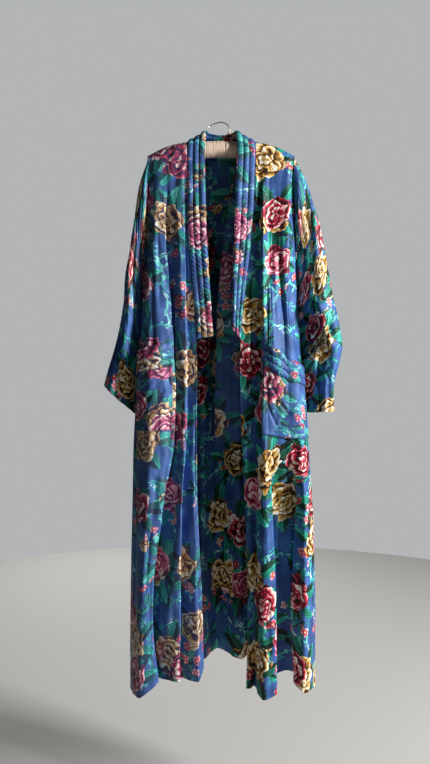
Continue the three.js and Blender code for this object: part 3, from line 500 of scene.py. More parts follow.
# Small folds: u and z at the top end, u and z at the bottom end, half width and depth
RIGHT_CREASES = [
    (1.5, -150, 1.35, -420, 7, 3.4), (2.3, -240, 2.5, -520, 6, 5.0), (2.8, -330, 2.95, -600, 5, 4.2),
    (1.7, -360, 1.5, -590, 7, -3.6), (5.0, -230, 5.2, -540, 6, 4.4), (5.5, -190, 5.6, -520, 5, -2.6),
    (4.0, -150, 3.95, -640, 6, 9.0), (6.6, -260, 6.7, -560, 4, 3.0), (1.2, -810, 1.35, -1250, 9, 4.6),
    (1.75, -860, 1.9, -1430, 9, -4.2), (2.5, -800, 2.35, -1240, 7, 5.0), (1.5, -1180, 1.65, -1420, 6, 4.2),
    (5.3, -620, 5.1, -1020, 6, 4.4), (5.6, -900, 5.35, -1400, 7, -3.8), (4.7, -1040, 4.8, -1390, 6, 4.2),
    (8.3, -700, 8.2, -1080, 4, 3.0), (8.4, -1100, 8.5, -1370, 5, 3.4), (3.5, -980, 3.4, -1330, 6, 3.4),
    (2.1, -1290, 1.9, -1430, 6, -3.4), (6.7, -860, 6.6, -1280, 5, 3.0), (0.9, -380, 1.0, -700, 6, 3.2),
    (1.95, -330, 2.15, -640, 5, 4.6), (2.7, -520, 2.85, -960, 5, 4.4), (1.0, -700, 1.15, -980, 7, 4.8),
    (2.2, -760, 2.1, -1010, 6, -4.0), (0.6, -820, 0.7, -1300, 6, 4.0), (2.75, -1090, 2.6, -1420, 5, 4.4),
]
LEFT_CREASES = [
    (1.7, -150, 2.1, -400, 7, 3.0), (2.5, -260, 2.6, -520, 6, 4.0), (4.3, -290, 4.2, -560, 7, 4.0),
    (6.4, -330, 6.4, -600, 6, 3.0), (8.0, -150, 7.9, -560, 4, 6.5), (9.3, -200, 9.2, -520, 4, 3.4),
    (8.5, -300, 8.4, -760, 5, -3.0), (3.3, -300, 3.1, -540, 8, -2.6), (1.7, -400, 1.5, -620, 7, -3.4),
    (1.8, -840, 1.6, -1280, 8, 4.6), (2.4, -880, 2.6, -1400, 7, -4.0), (1.3, -1100, 1.4, -1420, 6, 4.0),
    (7.4, -700, 7.7, -1180, 6, 4.2), (8.4, -860, 8.2, -1400, 6, 4.4), (7.6, -1150, 7.5, -1400, 5, -3.2),
    (10.4, -620, 10.5, -1200, 5, 3.4), (9.5, -420, 9.6, -800, 5, -3.0), (2.9, -340, 3.0, -640, 9, -6.0),
    (5.3, -400, 5.4, -640, 15, 10.0), (4.6, -960, 4.4, -1380, 8, 4.4),
    (5.5, -900, 5.4, -1340, 7, 3.8), (9.5, -960, 9.4, -1390, 5, 3.2), (3.4, -1020, 3.3, -1380, 6, 3.2),
]
BACK_CREASES = [
    (2.5, -130, 2.3, -620, 9, 4.6), (3.5, -220, 3.6, -900, 8, -4.0), (4.5, -160, 4.3, -560, 7, 4.4),
    (5.4, -110, 6.2, -420, 8, 5.0), (6.5, -260, 6.4, -980, 8, -4.2), (7.5, -150, 7.7, -640, 7, 4.6),
    (8.5, -300, 8.3, -1100, 8, 4.2), (9.5, -130, 9.7, -560, 8, -4.4), (10.4, -700, 10.3, -1350, 9, 4.8),
    (2.4, -820, 2.6, -1360, 9, 4.8), (5.5, -760, 5.4, -1340, 8, 4.4), (7.4, -900, 7.6, -1350, 7, -4.0),
    (4.4, -980, 4.6, -1340, 7, 4.0), (8.6, -1130, 8.4, -1360, 6, 3.8), (3.4, -940, 3.5, -1330, 6, 4.2),
    (9.4, -620, 9.5, -1080, 7, 4.2), (1.6, -400, 1.5, -900, 8, 4.0), (11.4, -380, 11.5, -860, 8, 4.0),
    (6.6, -1010, 6.5, -1340, 7, 4.2), (1.5, -960, 1.6, -1390, 8, -3.8), (11.5, -900, 11.4, -1390, 8, 4.2),
]


def crease(grid, u, creases):
    """Soft troughs and ridges along the panel's normal, fading at both ends."""
    normal = normals_of(grid)
    z = grid[:, :, 2]
    width_per_u = np.maximum(np.linalg.norm(np.gradient(grid, axis=1), axis=2)
                             / np.maximum(np.gradient(u)[None, :], 1e-6), 1.0)
    push = np.zeros_like(z)
    for u_top, z_top, u_bottom, z_bottom, width, depth in creases:
        share = (z_top - z) / (z_top - z_bottom)
        centre = lerp(u_top, u_bottom, share)
        centre += CREASE_WAVER["u"] * np.sin(share * CREASE_WAVER["turns"] + width)
        fade = np.clip(share * 4, 0, 1) * np.clip((1 - share) * 3, 0, 1)
        off = (u[None, :] - centre) * width_per_u
        pinch = np.exp(-(np.abs(off) / width) ** CREASE_SHARPNESS)
        push -= depth * pinch * fade * fade * (3 - 2 * fade)
    rows = np.arange(len(grid))[:, None] / CREASE_STILL_ROWS
    keep = np.clip(rows, 0, 1) * np.minimum(1, np.minimum(u - u[0], u[-1] - u)[None, :] * 4)
    return grid + normal * (push * keep)[:, :, None]


def panel_columns(panel, extra):
    """Even columns between the fold lines, twice as many after those named in extra."""
    parts = [np.linspace(i, i + 1, STEPS * (2 if i in extra else 1) + 1)[:-1] for i in range(panel.last)]
    return np.concatenate(parts + [[float(panel.last)]])


# Materials
class Graph:
    """Short calls for building a node tree."""

    def __init__(self, tree):
        self.tree = tree

    def node(self, kind, inputs=(), **settings):
        """A new node's outputs; inputs holds values or sockets by the input's name or number."""
        node = self.tree.nodes.new(kind)
        for name, value in settings.items():
            setattr(node, name, value)
        for name, value in dict(inputs).items():
            self.put(node.inputs[name], value)
        return node.outputs

    def put(self, socket, value):
        if isinstance(value, bpy.types.NodeSocket):
            self.tree.links.new(value, socket)
        else:
            socket.default_value = value

    def math(self, operation, *values):
        return self.node("ShaderNodeMath", enumerate(values), operation=operation)[0]

    def plus(self, a, b):
        return self.math("ADD", a, b)

    def minus(self, a, b):
        return self.math("SUBTRACT", a, b)

    def times(self, a, b):
        return self.math("MULTIPLY", a, b)

    def over(self, a, b):
        return self.math("DIVIDE", a, b)

    def times_plus(self, a, b, c):
        return self.math("MULTIPLY_ADD", a, b, c)

    def swing(self, tone, value, amount, middle=0.5):
        """The tone, moved by how far a value lies from its middle."""
        return self.plus(tone, self.times(self.minus(value, middle), amount))

    def between(self, mask, value, low, high=2.0):
        """The mask where a value lies between two others."""
        above = self.times(mask, self.math("GREATER_THAN", value, low))
        return self.times(above, self.math("LESS_THAN", value, high))

    def polar(self, local, radius):
        """Angle of a vector in the cloth's plane, and its length in radii."""
        parts = self.split(local)
        return self.math("ARCTAN2", parts[1], parts[0]), self.over(self.vector("LENGTH", local), radius)

    def vector(self, operation, *values):
        outputs = self.node("ShaderNodeVectorMath", enumerate(values), operation=operation)
        return outputs["Value" if operation == "LENGTH" else "Vector"]

    def scaled(self, vector, scale):
        return self.node("ShaderNodeVectorMath", {0: vector, "Scale": scale}, operation="SCALE")["Vector"]

    def mix(self, share, a, b):
        return self.node("ShaderNodeMix", {"Factor": share, "A": a, "B": b}, data_type="RGBA")["Result"]

    def step(self, value, low, high):
        """Nought below low, one above high, smooth between them."""
        inputs = {"Value": value, "From Min": low, "From Max": high}
        return self.node("ShaderNodeMapRange", inputs, interpolation_type="SMOOTHSTEP")["Result"]

    def fade(self, value, low, high):
        """One below low, nought above high."""
        return self.minus(1.0, self.step(value, low, high))

    def ramp(self, value, stops):
        node = self.tree.nodes.new("ShaderNodeValToRGB")
        self.put(node.inputs[0], value)
        elements = node.color_ramp.elements
        elements[0].position, elements[0].color = stops[0]
        elements[1].position, elements[1].color = stops[-1]
        for position, shade in stops[1:-1]:
            elements.new(position).color = shade
        return node.outputs["Color"]

    def split(self, vector):
        return self.node("ShaderNodeSeparateXYZ", {0: vector})

    def join(self, *values):
        return self.node("ShaderNodeCombineXYZ", enumerate(values))[0]

    def noise(self, at, scale, detail, rough=0.5):
        inputs = {"Vector": at, "Scale": scale, "Detail": detail, "Roughness": rough}
        return self.node("ShaderNodeTexNoise", inputs)

    def cells(self, at, scale, random, feature="F1", dimensions="2D"):
        inputs = {"Vector": at, "Scale": scale, "Randomness": random}
        return self.node("ShaderNodeTexVoronoi", inputs, feature=feature, voronoi_dimensions=dimensions)

    def bump(self, height, distance, strength):
        return self.node("ShaderNodeBump", {"Height": height, "Distance": distance, "Strength": strength})[0]


def new_material(name, values):
    """A material, the short calls for its tree, and its shader with its plain values set."""
    material = bpy.data.materials.new(name)
    material.use_nodes = True
    shader = material.node_tree.nodes["Principled BSDF"]
    for socket, value in values.items():
        shader.inputs[socket].default_value = value
    return material, Graph(material.node_tree), shader


def colour(red, green, blue):
    """Display values 0 to 255 as the linear colour that a shader takes."""
    values = []
    for value in (red, green, blue):
        share = value / 255
        values.append(share / 12.92 if share <= 0.04045 else ((share + 0.055) / 1.055) ** 2.4)
    return (*values, 1.0)


def shades(*stops):
    """Stops of a colour ramp, each given as its position and display colour."""
    return [(position, colour(*display)) for position, *display in stops]


GROUND = colour(62, 104, 170)
GROUND_DARK = colour(44, 78, 138)
REVERSE_TINT = colour(88, 108, 166)
THREAD = colour(34, 44, 88)
BLOSSOM_EYE = colour(244, 224, 170)
CRIMSON = shades((0, 44, 2, 12), (0.2, 124, 6, 32), (0.42, 190, 20, 58), (0.58, 222, 78, 108),
                 (0.74, 248, 200, 194), (1, 255, 246, 236))
GOLD = shades((0, 40, 22, 6), (0.16, 126, 78, 20), (0.36, 200, 146, 56), (0.56, 234, 200, 126),
              (0.74, 250, 238, 206), (1, 255, 251, 240))
ROSE = shades((0, 96, 8, 38), (0.25, 182, 36, 80), (0.46, 224, 106, 142), (0.66, 242, 178, 188),
              (1, 255, 246, 240))
LEAF = shades((0, 2, 20, 16), (0.26, 6, 60, 42), (0.46, 14, 120, 98), (0.7, 38, 172, 156),
              (1, 118, 218, 200))
SPRIG = shades((0.28, 10, 116, 104), (0.45, 40, 176, 168), (0.62, 112, 216, 204), (0.78, 222, 244, 234))
BERRY = shades((0, 84, 4, 22), (0.45, 184, 22, 58), (0.75, 236, 130, 148), (1, 255, 232, 224))
# Sewing thread on the edges: stitches to the metre, the share of each that shows, half width of the thread,
# how far the line softens, and how deep it sinks; doubled cloth inside a hem stands up by HEM_RISE
STITCH = {"per_metre": 330.0, "shows": 0.68, "half": 0.0004, "soft": (0.0002, 0.0012), "sunk": -0.0003}
HEM_RISE = 0.0003
# Unevenness of the cloth: stretch down the cloth, waves to the metre, detail, roughness and height
CRUMPLE = (0.32, 55.0, 3.0, 0.55, 0.0022)
BUCKLE = (0.5, 21.0, 2.0, 0.5, 0.0042)
TWILL_HEIGHT = 0.00006


def placed(g, cloth, spacing, random, offset):
    """Motif places on the cloth: the vector from the nearest place, turned, and its random values."""
    at = g.vector("ADD", cloth, (offset[0], offset[1], 0))
    cells = g.cells(at, 1 / spacing, random)
    chance = g.split(cells["Color"])
    from_place = g.vector("SUBTRACT", at, cells["Position"])
    turn = {"Vector": from_place, "Angle": g.times(chance[0], math.tau)}
    return g.node("ShaderNodeVectorRotate", turn, rotation_type="Z_AXIS")[0], chance


def rosette(g, local, chance, radius, petals, rings, stops):
    """A many-petalled flower: petals are cells on a cylinder of angle and distance."""
    distance = g.over(g.vector("LENGTH", local), radius)
    sides = g.split(g.vector("NORMALIZE", local))
    seed = g.join(g.times(chance[1], 37.0), g.times(chance[2], 19.0))
    wave = g.noise(g.vector("ADD", g.scaled(local, 1 / radius), seed), 2.2, 1.0)["Fac"]
    bent = g.swing(distance, wave, 0.6)
    turn = petals / math.tau
    cylinder = g.join(g.times(sides[0], turn), g.times(sides[1], turn), g.times(bent, rings))
    petal_at = g.vector("ADD", cylinder, seed)
    petal = g.cells(petal_at, 1.0, 0.85, dimensions="3D")
    line = g.cells(petal_at, 1.0, 0.85, "DISTANCE_TO_EDGE", "3D")["Distance"]
    streak = g.noise(g.join(g.times(sides[0], 9.0), g.times(sides[1], 9.0), bent), 2.0, 2.0)["Fac"]
    shift = g.minus(g.split(petal_at)[2], g.split(petal["Position"])[2])
    tone = g.times_plus(shift, 1.15, 0.44)
    tone = g.swing(tone, g.split(petal["Color"])[0], 0.62)
    tone = g.swing(tone, streak, 0.6)
    tone = g.times(tone, g.step(line, -0.02, 0.075))
    edge = g.plus(bent, g.times(petal["Distance"], 0.34))
    return g.ramp(tone, stops), g.fade(edge, 0.97, 1.0)


def leaves(g, local, chance, reach, count, inner, fullness):
    """Pointed, toothed leaves round a place, with a light midrib and side veins."""
    angle, distance = g.polar(local, reach)
    turn = g.plus(g.times(angle, count / math.tau), g.times(chance[2], 5.0))
    index = g.math("ROUND", turn)
    leaf_seed = {"Vector": g.join(index, g.times(chance[1], 31.0))}
    own = g.split(g.node("ShaderNodeTexWhiteNoise", leaf_seed, noise_dimensions="2D")["Color"])
    bend = g.times(g.minus(own[1], 0.5), 0.6)
    beyond = g.minus(distance, inner)
    side = g.minus(g.minus(turn, index), g.times(bend, beyond))
    along = g.over(beyond, g.times_plus(own[0], 0.45, 0.55))
    start = g.math("POWER", g.math("MAXIMUM", along, 0.0), 0.55)
    width = g.times(g.times(g.minus(1.0, along), start), fullness)
    from_rib = g.math("ABSOLUTE", side)
    teeth = g.times(g.math("PINGPONG", g.times(along, 7.0), 0.5), 0.13)
    mask = g.step(g.minus(g.minus(width, teeth), from_rib), 0.0, 0.03)
    mask = g.between(mask, along, 0.0, 1.0)
    mask = g.between(mask, own[2], 0.16)
    vein = g.math("PINGPONG", g.plus(g.times(along, 5.0), g.times(from_rib, 7.0)), 0.5)
    tone = g.plus(g.times(vein, 0.5), g.times(own[1], 0.5))
    tone = g.swing(tone, g.step(side, -0.02, 0.02), 0.36)
    tone = g.swing(tone, along, 0.4, middle=0.6)
    tone = g.plus(tone, g.times(g.fade(from_rib, 0.012, 0.03), 0.3))
    return g.ramp(tone, LEAF), mask


def blossom(g, local, chance, radius, petals):
    """A small open flower with uneven round petals and a pale eye."""
    angle, distance = g.polar(local, radius)
    lobe = g.math("ABSOLUTE", g.math("COSINE", g.times(angle, petals / 2)))
    uneven = g.noise(g.scaled(local, 1.6 / radius), 1.0, 1.0)["Fac"]
    edge = g.times_plus(g.math("POWER", lobe, 0.6), 0.4, g.times_plus(uneven, 0.7, 0.24))
    share = g.over(distance, edge)
    tone = g.plus(g.times(share, 0.55), g.times(lobe, 0.4))
    tone = g.swing(tone, chance[0], 0.5)
    eye = g.fade(distance, 0.14, 0.24)
    return g.mix(eye, g.ramp(tone, BERRY), BLOSSOM_EYE), g.fade(share, 0.92, 1.0)


def sprigs(g, cloth):
    """Thin curling stems with small leaflets, in aqua and teal."""
    bend = g.noise(cloth, 14.0, 2.0)["Color"]
    curled = g.vector("ADD", cloth, g.scaled(bend, 0.06))
    stem = g.cells(curled, 13.0, 0.9, "DISTANCE_TO_EDGE")["Distance"]
    where = g.step(g.noise(cloth, 8.0, 1.0)["Fac"], 0.4, 0.48)
    line = g.times(g.fade(stem, 0.014, 0.03), where)
    local, chance = placed(g, curled, spacing=0.0105, random=0.85, offset=(0.3, 0.1))
    parts = g.split(local)
    length = g.over(parts[0], 0.006)
    width = g.over(parts[1], 0.0026)
    leaflet = g.fade(g.plus(g.times(length, length), g.times(width, width)), 0.8, 1.0)
    near = g.times(g.fade(stem, 0.1, 0.16), where)
    leaflet = g.between(g.times(leaflet, near), chance[1], 0.3)
    tone = g.times_plus(chance[2], 0.3, g.times(g.noise(cloth, 22.0, 1.0)["Fac"], 0.75))
    return g.ramp(tone, SPRIG), g.math("MAXIMUM", line, leaflet)


def print_group():
    """The printed pattern as one node group: flat-cloth metres in, colour out. Motifs lie over each other."""
    tree = bpy.data.node_groups.new("floral_print", "ShaderNodeTree")
    tree.interface.new_socket("Cloth", in_out="INPUT", socket_type="NodeSocketVector")
    tree.interface.new_socket("Colour", in_out="OUTPUT", socket_type="NodeSocketColor")
    g = Graph(tree)
    cloth = g.node("NodeGroupInput")["Cloth"]
    paint = g.mix(g.step(g.noise(cloth, 16.0, 3.0)["Fac"], 0.4, 0.62), GROUND_DARK, GROUND)
    stem, mask = sprigs(g, cloth)
    paint = g.mix(mask, paint, stem)

    clump, own = placed(g, cloth, spacing=0.088, random=0.85, offset=(0.62, 0.17))
    leaf, mask = leaves(g, clump, own, reach=0.036, count=5, inner=0.02, fullness=1.15)
    paint = g.mix(g.between(mask, own[1], 0.42), paint, leaf)
    daisy, mask = rosette(g, clump, own, radius=0.0165, petals=8, rings=2, stops=GOLD)
    paint = g.mix(g.between(mask, own[1], 0.86), paint, daisy)

    red_place, red_own = placed(g, cloth, spacing=0.182, random=0.8, offset=(0, 0))
    gold_place, gold_own = placed(g, cloth, spacing=0.2, random=0.8, offset=(0.37, 0.21))
    for place, own, reach in ((red_place, red_own, 0.077), (gold_place, gold_own, 0.083)):
        leaf, mask = leaves(g, place, own, reach, count=7, inner=0.3, fullness=1.05)
        paint = g.mix(mask, paint, leaf)

    small, own = placed(g, cloth, spacing=0.027, random=0.9, offset=(0.21, 0.4))
    cluster = g.step(g.noise(cloth, 9.5, 1.0)["Fac"], 0.59, 0.61)
    berry, mask = blossom(g, small, own, radius=0.012, petals=5)
    paint = g.mix(g.times(g.between(mask, own[1], 0.3), cluster), paint, berry)

    gold, mask = rosette(g, gold_place, gold_own, radius=0.055, petals=9.5, rings=4, stops=GOLD)
    paint = g.mix(mask, paint, gold)
    crimson, mask = rosette(g, red_place, red_own, radius=0.051, petals=8, rings=3.7, stops=CRIMSON)
    paint = g.mix(g.between(mask, red_own[1], 0.28), paint, crimson)
    rose, mask = rosette(g, red_place, red_own, radius=0.048, petals=6, rings=4, stops=ROSE)
    paint = g.mix(g.between(mask, red_own[1], -1.0, 0.28), paint, rose)
    g.node("NodeGroupOutput", {"Colour": paint})
    return tree


PRINT = print_group()


def viscose(name, reverse=False):
    """Printed viscose: soft semi-matte cloth with a fine twill, small crumples and stitched edges."""
    material, g, shader = new_material(name, {
        "Roughness": 0.55, "Specular IOR Level": 0.32, "Sheen Weight": 0.06, "Sheen Roughness": 0.4})
    uv = g.node("ShaderNodeUVMap", uv_map="flat_cloth")[0]
    paint = g.node("ShaderNodeGroup", {"Cloth": uv}, node_tree=PRINT)["Colour"]
    if reverse:
        paint = g.mix(0.22, paint, REVERSE_TINT)
    along, inside, _ = g.split(g.node("ShaderNodeUVMap", uv_map="stitching")[0])
    from_line = g.math("ABSOLUTE", inside)
    on_thread = g.math("LESS_THAN", g.math("FRACT", g.times(along, STITCH["per_metre"])), STITCH["shows"])
    thread = g.times(g.math("LESS_THAN", from_line, STITCH["half"]), on_thread)
    g.put(shader.inputs["Base Color"], g.mix(thread, paint, THREAD))

    twill = {"Vector": uv, "Scale": 420.0, "Distortion": 0.6}
    rib = g.node("ShaderNodeTexWave", twill, wave_type="BANDS", bands_direction="DIAGONAL")["Fac"]
    height = g.times(rib, TWILL_HEIGHT)
    for stretch, scale, detail, rough, rise in (CRUMPLE, BUCKLE):
        uneven = g.noise(g.vector("MULTIPLY", uv, (1.0, stretch, 1.0)), scale, detail, rough)["Fac"]
        height = g.times_plus(uneven, rise, height)
    height = g.times_plus(g.fade(from_line, *STITCH["soft"]), STITCH["sunk"], height)
    height = g.times_plus(g.math("LESS_THAN", inside, 0.0), HEM_RISE, height)
    g.put(shader.inputs["Normal"], g.bump(height, distance=1.0, strength=0.9))
    return material


CLOTH_FACE = viscose("viscose_print")
CLOTH_REVERSE = viscose("viscose_reverse", reverse=True)


def satin():
    """Ruched satin of the bar, with fine lines round it."""
    material, g, shader = new_material("padded_satin", {
        "Roughness": 0.34, "Specular IOR Level": 0.6, "Sheen Weight": 0.3})
    at = g.node("ShaderNodeTexCoord")["Object"]
    fine = g.noise(g.vector("MULTIPLY", at, (420.0, 38.0, 38.0)), 1.0, 3.0)["Fac"]
    g.put(shader.inputs["Base Color"], g.mix(fine, colour(214, 172, 148), colour(252, 236, 220)))
    g.put(shader.inputs["Normal"], g.bump(fine, distance=0.004, strength=0.5))
    return material


def brass():
    """Pale brass of the hook, a little worn."""
    material, g, shader = new_material("pale_brass", {"Metallic": 1.0})
    wear = g.noise(g.node("ShaderNodeTexCoord")["Object"], 400.0, 3.0)["Fac"]
    g.put(shader.inputs["Base Color"], g.mix(wear, colour(226, 208, 158), colour(250, 240, 206)))
    g.put(shader.inputs["Roughness"], g.times_plus(wear, 0.2, 0.28))
    return material


# Panels
right_front = Panel(RIGHT_FRONT, -1, [(0, -1)])
left_front = Panel(LEFT_FRONT, -1, [(0, 1)])


def back_folds():
    """The back's fold lines: its own, between the side seams that it shares with the fronts."""
    def side_of(front, inward):
        return [("side seam", front[0][1], front[0][2], front[0][3]),
                ("side turn", [x + inward for x in front[1][1]], [-y for y in front[1][2]], front[1][3])]
    middle = []
    for name, bar, waist, hem_x, depth, hem in BACK_FOLDS:
        below = [lerp(waist, hem_x, 0.4), lerp(waist, hem_x, 0.6), hem_x, hem_x]
        x = [bar, lerp(bar, waist, 0.4), waist] + below
        middle.append((name, x, [lerp(BACK_DEPTH, depth, share) for share in BACK_SHARE], hem))
    return side_of(RIGHT_FRONT, 1) + middle + side_of(LEFT_FRONT, -1)[::-1]


BACK = back_folds()
back_panel = Panel(BACK, 1, [(0, -1), (len(BACK) - 1, 1)])


def make_panel(name, panel, creases, seed, place, extra=()):
    """One panel of cloth; returns its grid and columns. A front's flat cloth starts at its free edge."""
    columns = panel_columns(panel, extra)
    grid = crease(panel.grid(columns), columns, creases)
    front = panel.side < 0
    u, v = flat_lengths(grid)
    if front:
        u = u[:, -1:] - u
    grid = rippled(grid, (u, v), seed)
    inside = from_last_row(grid) - HEM_STITCH
    if front:
        below_band = grid[:, -1:, 2] < WAIST_Z
        inside = np.minimum(inside, np.where(below_band, u - EDGE_STITCH, NO_EDGE))
    wall(name, grid, CLOTH, place, inside, rims={0: Y_AXIS}, flat=(u, v), reverse=panel.side)
    return grid, columns


right_cloth = make_panel(
    "cloth_front_right", right_front, RIGHT_CREASES, seed=11, place=(0.31, 0.05))
left_cloth = make_panel(
    "cloth_front_left", left_front, LEFT_CREASES, seed=12, place=(1.27, 0.43))
back_grid, _ = make_panel(
    "cloth_back", back_panel, BACK_CREASES, seed=13, place=(2.6, 0.9), extra=(4, 7))


# Sleeves
def pressed(folds, x, z):
    """How far a place sinks into a list of folds, each a line in XZ with a half width and a depth."""
    depth = np.zeros_like(x)
    for from_x, from_z, to_x, to_z, width, deep in folds:
        long_x = to_x - from_x
        long_z = to_z - from_z
        part = np.clip(((x - from_x) * long_x + (z - from_z) * long_z) / (long_x**2 + long_z**2), 0, 1)
        depth += deep * bell(np.hypot(x - from_x - part * long_x, z - from_z - part * long_z), width)
    return depth


# Finer folds of the sleeves, front and back, in the same form as the elbow's folds
RIGHT_SLEEVE_FOLDS = {
    -1: [(-206, -180, -225, -420, 7, 3.4), (-222, -300, -214, -560, 6, 3.6),
         (-238, -430, -262, -640, 7, 4.4), (-224, -520, -244, -720, 6, 5.0),
         (-270, -600, -284, -680, 6, 3.4), (-217, -620, -230, -736, 5, 4.4),
         (-232, -480, -238, -700, 7, -3.0), (-254, -600, -268, -712, 6, 4.0),
         (-244, -560, -256, -724, 5, -2.6)],
    1: [(-210, -200, -226, -470, 8, 4.2), (-236, -380, -256, -640, 7, 4.4),
        (-222, -480, -236, -720, 6, 4.4), (-262, -560, -280, -680, 7, 3.6),
        (-228, -560, -244, -700, 6, -3.0), (-248, -600, -262, -720, 6, 4.0)],
}
LEFT_SLEEVE_FOLDS = {
    -1: [(242, -472, 268, -566, 11, -15.0), (212, -596, 224, -700, 12, 9.0), (204, -500, 218, -556, 19, 27.0),
         (290, -560, 272, -660, 12, -7.0), (204, -456, 236, -470, 9, -8.0),
         (214, -190, 232, -440, 8, 4.0), (232, -230, 262, -470, 8, -3.4), (206, -330, 216, -470, 6, 3.6),
         (276, -500, 240, -560, 9, 5.6), (300, -560, 262, -640, 8, 4.6), (222, -560, 232, -730, 5, 5.4),
         (246, -600, 250, -735, 5, 5.4), (268, -640, 268, -735, 5, 4.8), (234, -590, 241, -735, 5, -3.4),
         (258, -620, 259, -735, 5, -3.4), (246, -330, 268, -480, 6, 3.4), (224, -470, 268, -600, 7, 4.2)],
    1: [(226, -220, 246, -480, 8, 4.4), (262, -380, 224, -520, 9, 5.4), (290, -520, 236, -600, 9, 6.0),
        (286, -600, 250, -680, 8, 5.0), (238, -600, 244, -735, 6, 4.6), (266, -660, 264, -735, 6, 4.4),
        (282, -470, 230, -560, 8, -4.4), (252, -620, 254, -735, 5, -3.0)],
}


def make_sleeve(name, table, sign, folds, seed, place):
    """A sleeve as a tube of rings, from the armhole to the cuff; sign is the side of the body."""
    angle = math.pi + np.arange(SLEEVE_SIDES) * math.tau / SLEEVE_SIDES
    hole_x, hole_depth = armhole(ARMHOLE_MIDDLE + ARMHOLE_HALF * np.cos(angle), sign)
    forward_side = -np.sign(np.round(np.sin(angle), 6))
    head_z = ARMHOLE_MIDDLE + (ARMHOLE_HALF - SLEEVE_HEAD["inset"]) * np.cos(angle)
    first = np.stack([hole_x + sign * SLEEVE_HEAD["out"], forward_side * hole_depth, head_z], axis=1)
    keys = np.arange(len(table), dtype=float)
    places = np.linspace(0, keys[-1], int(keys[-1]) * RINGS_PER_ROW + 1)
    columns = np.array(table, float)
    smooth = np.stack([through(keys, columns[:, k], places) for k in range(columns.shape[1])], axis=1)
    up = (1 + np.cos(angle)) / 2
    bulge = np.abs(np.sin(angle)) ** SLEEVE_ROUNDNESS
    in_front = np.sin(angle) > 0
    rings = []
    for at, (top_x, top_z, under_x, under_z, tuck, forward, back) in zip(places, smooth):
        share = at / keys[-1]
        turned = SLEEVE_FOLD["count"] * angle + SLEEVE_FOLD["turn"] * at
        fold = SLEEVE_FOLD["depth"] * share * np.sin(turned)
        x = lerp(under_x, top_x, up)
        z = lerp(under_z, top_z, up)
        elbow = pressed(ELBOW_FOLDS, x, z) if sign > 0 else 0
        ahead = forward - elbow - pressed(folds[-1], x, z)
        behind = back - pressed(folds[1], x, z)
        reach = np.where(in_front, -ahead, behind) * bulge
        y = lerp(tuck, 0, up) + reach * (1 + fold * SLEEVE_FOLD["swell"])
        outward = np.maximum(np.cos(angle) * sign, 0) * SLEEVE_FOLD["out"]
        rings.append(np.stack([x + sign * fold * outward, y, z], axis=1))
    between = [lerp(first, rings[0], share) for share in (0.25, 0.5, 0.75)]
    grid = np.stack([first] + between + rings)
    grid = grid[:, ::-1] if sign > 0 else grid
    closed = np.concatenate([grid, grid[:, :1]], axis=1)
    flat = flat_lengths(closed)
    inside = from_last_row(closed) - HEM_STITCH
    grid = rippled(grid, [part[:, :-1] for part in flat], seed, SLEEVE_RIPPLE)
    wall(name, grid, CLOTH, place, inside, ring=True, rims={0: X_AXIS}, flat=flat)


make_sleeve("cloth_sleeve_right", RIGHT_SLEEVE, -1, RIGHT_SLEEVE_FOLDS, seed=21, place=(3.7, 0.2))
make_sleeve("cloth_sleeve_left", LEFT_SLEEVE, 1, LEFT_SLEEVE_FOLDS, seed=22, place=(4.4, 0.6))


# Bands with three pintucks along their length
def tuck_profile():
    """Share of the width and height: each tuck rises sharply and falls slowly to the next one."""
    across_band = np.linspace(0, 1, 49)
    for start in TUCK_STARTS:
        across_band[np.argmin(np.abs(across_band - start))] = start
    lift = np.zeros_like(across_band)
    for start in TUCK_STARTS:
        share = (across_band - start) / TUCK_WIDTH
        inside = (share >= 0) & (share <= 1)
        lift += np.where(inside, np.sin(np.pi * np.clip(share, 0, 1)) ** 0.6 - 0.25, 0)
    return across_band, lift


def from_tucks(distance):
    """Distance from the nearest tuck's base, for values that run across the tucks along the last axis."""
    bases = np.array(TUCK_STARTS) * distance[..., -1:]
    return np.abs(distance[..., None] - bases[..., None, :]).min(axis=-1)


def ruled(seam, free, shares):
    """Grid of straight rows from the points of a seam to those of a free edge."""
    return seam[:, None] * (1 - shares)[None, :, None] + free[:, None] * shares[None, :, None]


def resampled(line, step):
    """Even points along a line, and how far along it each one lies."""
    length = running(np.linalg.norm(np.diff(line, axis=0), axis=1))
    at = np.linspace(0, length[-1], int(length[-1] / step) + 1)
    return np.stack([np.interp(at, length, line[:, k]) for k in range(3)], axis=1), at


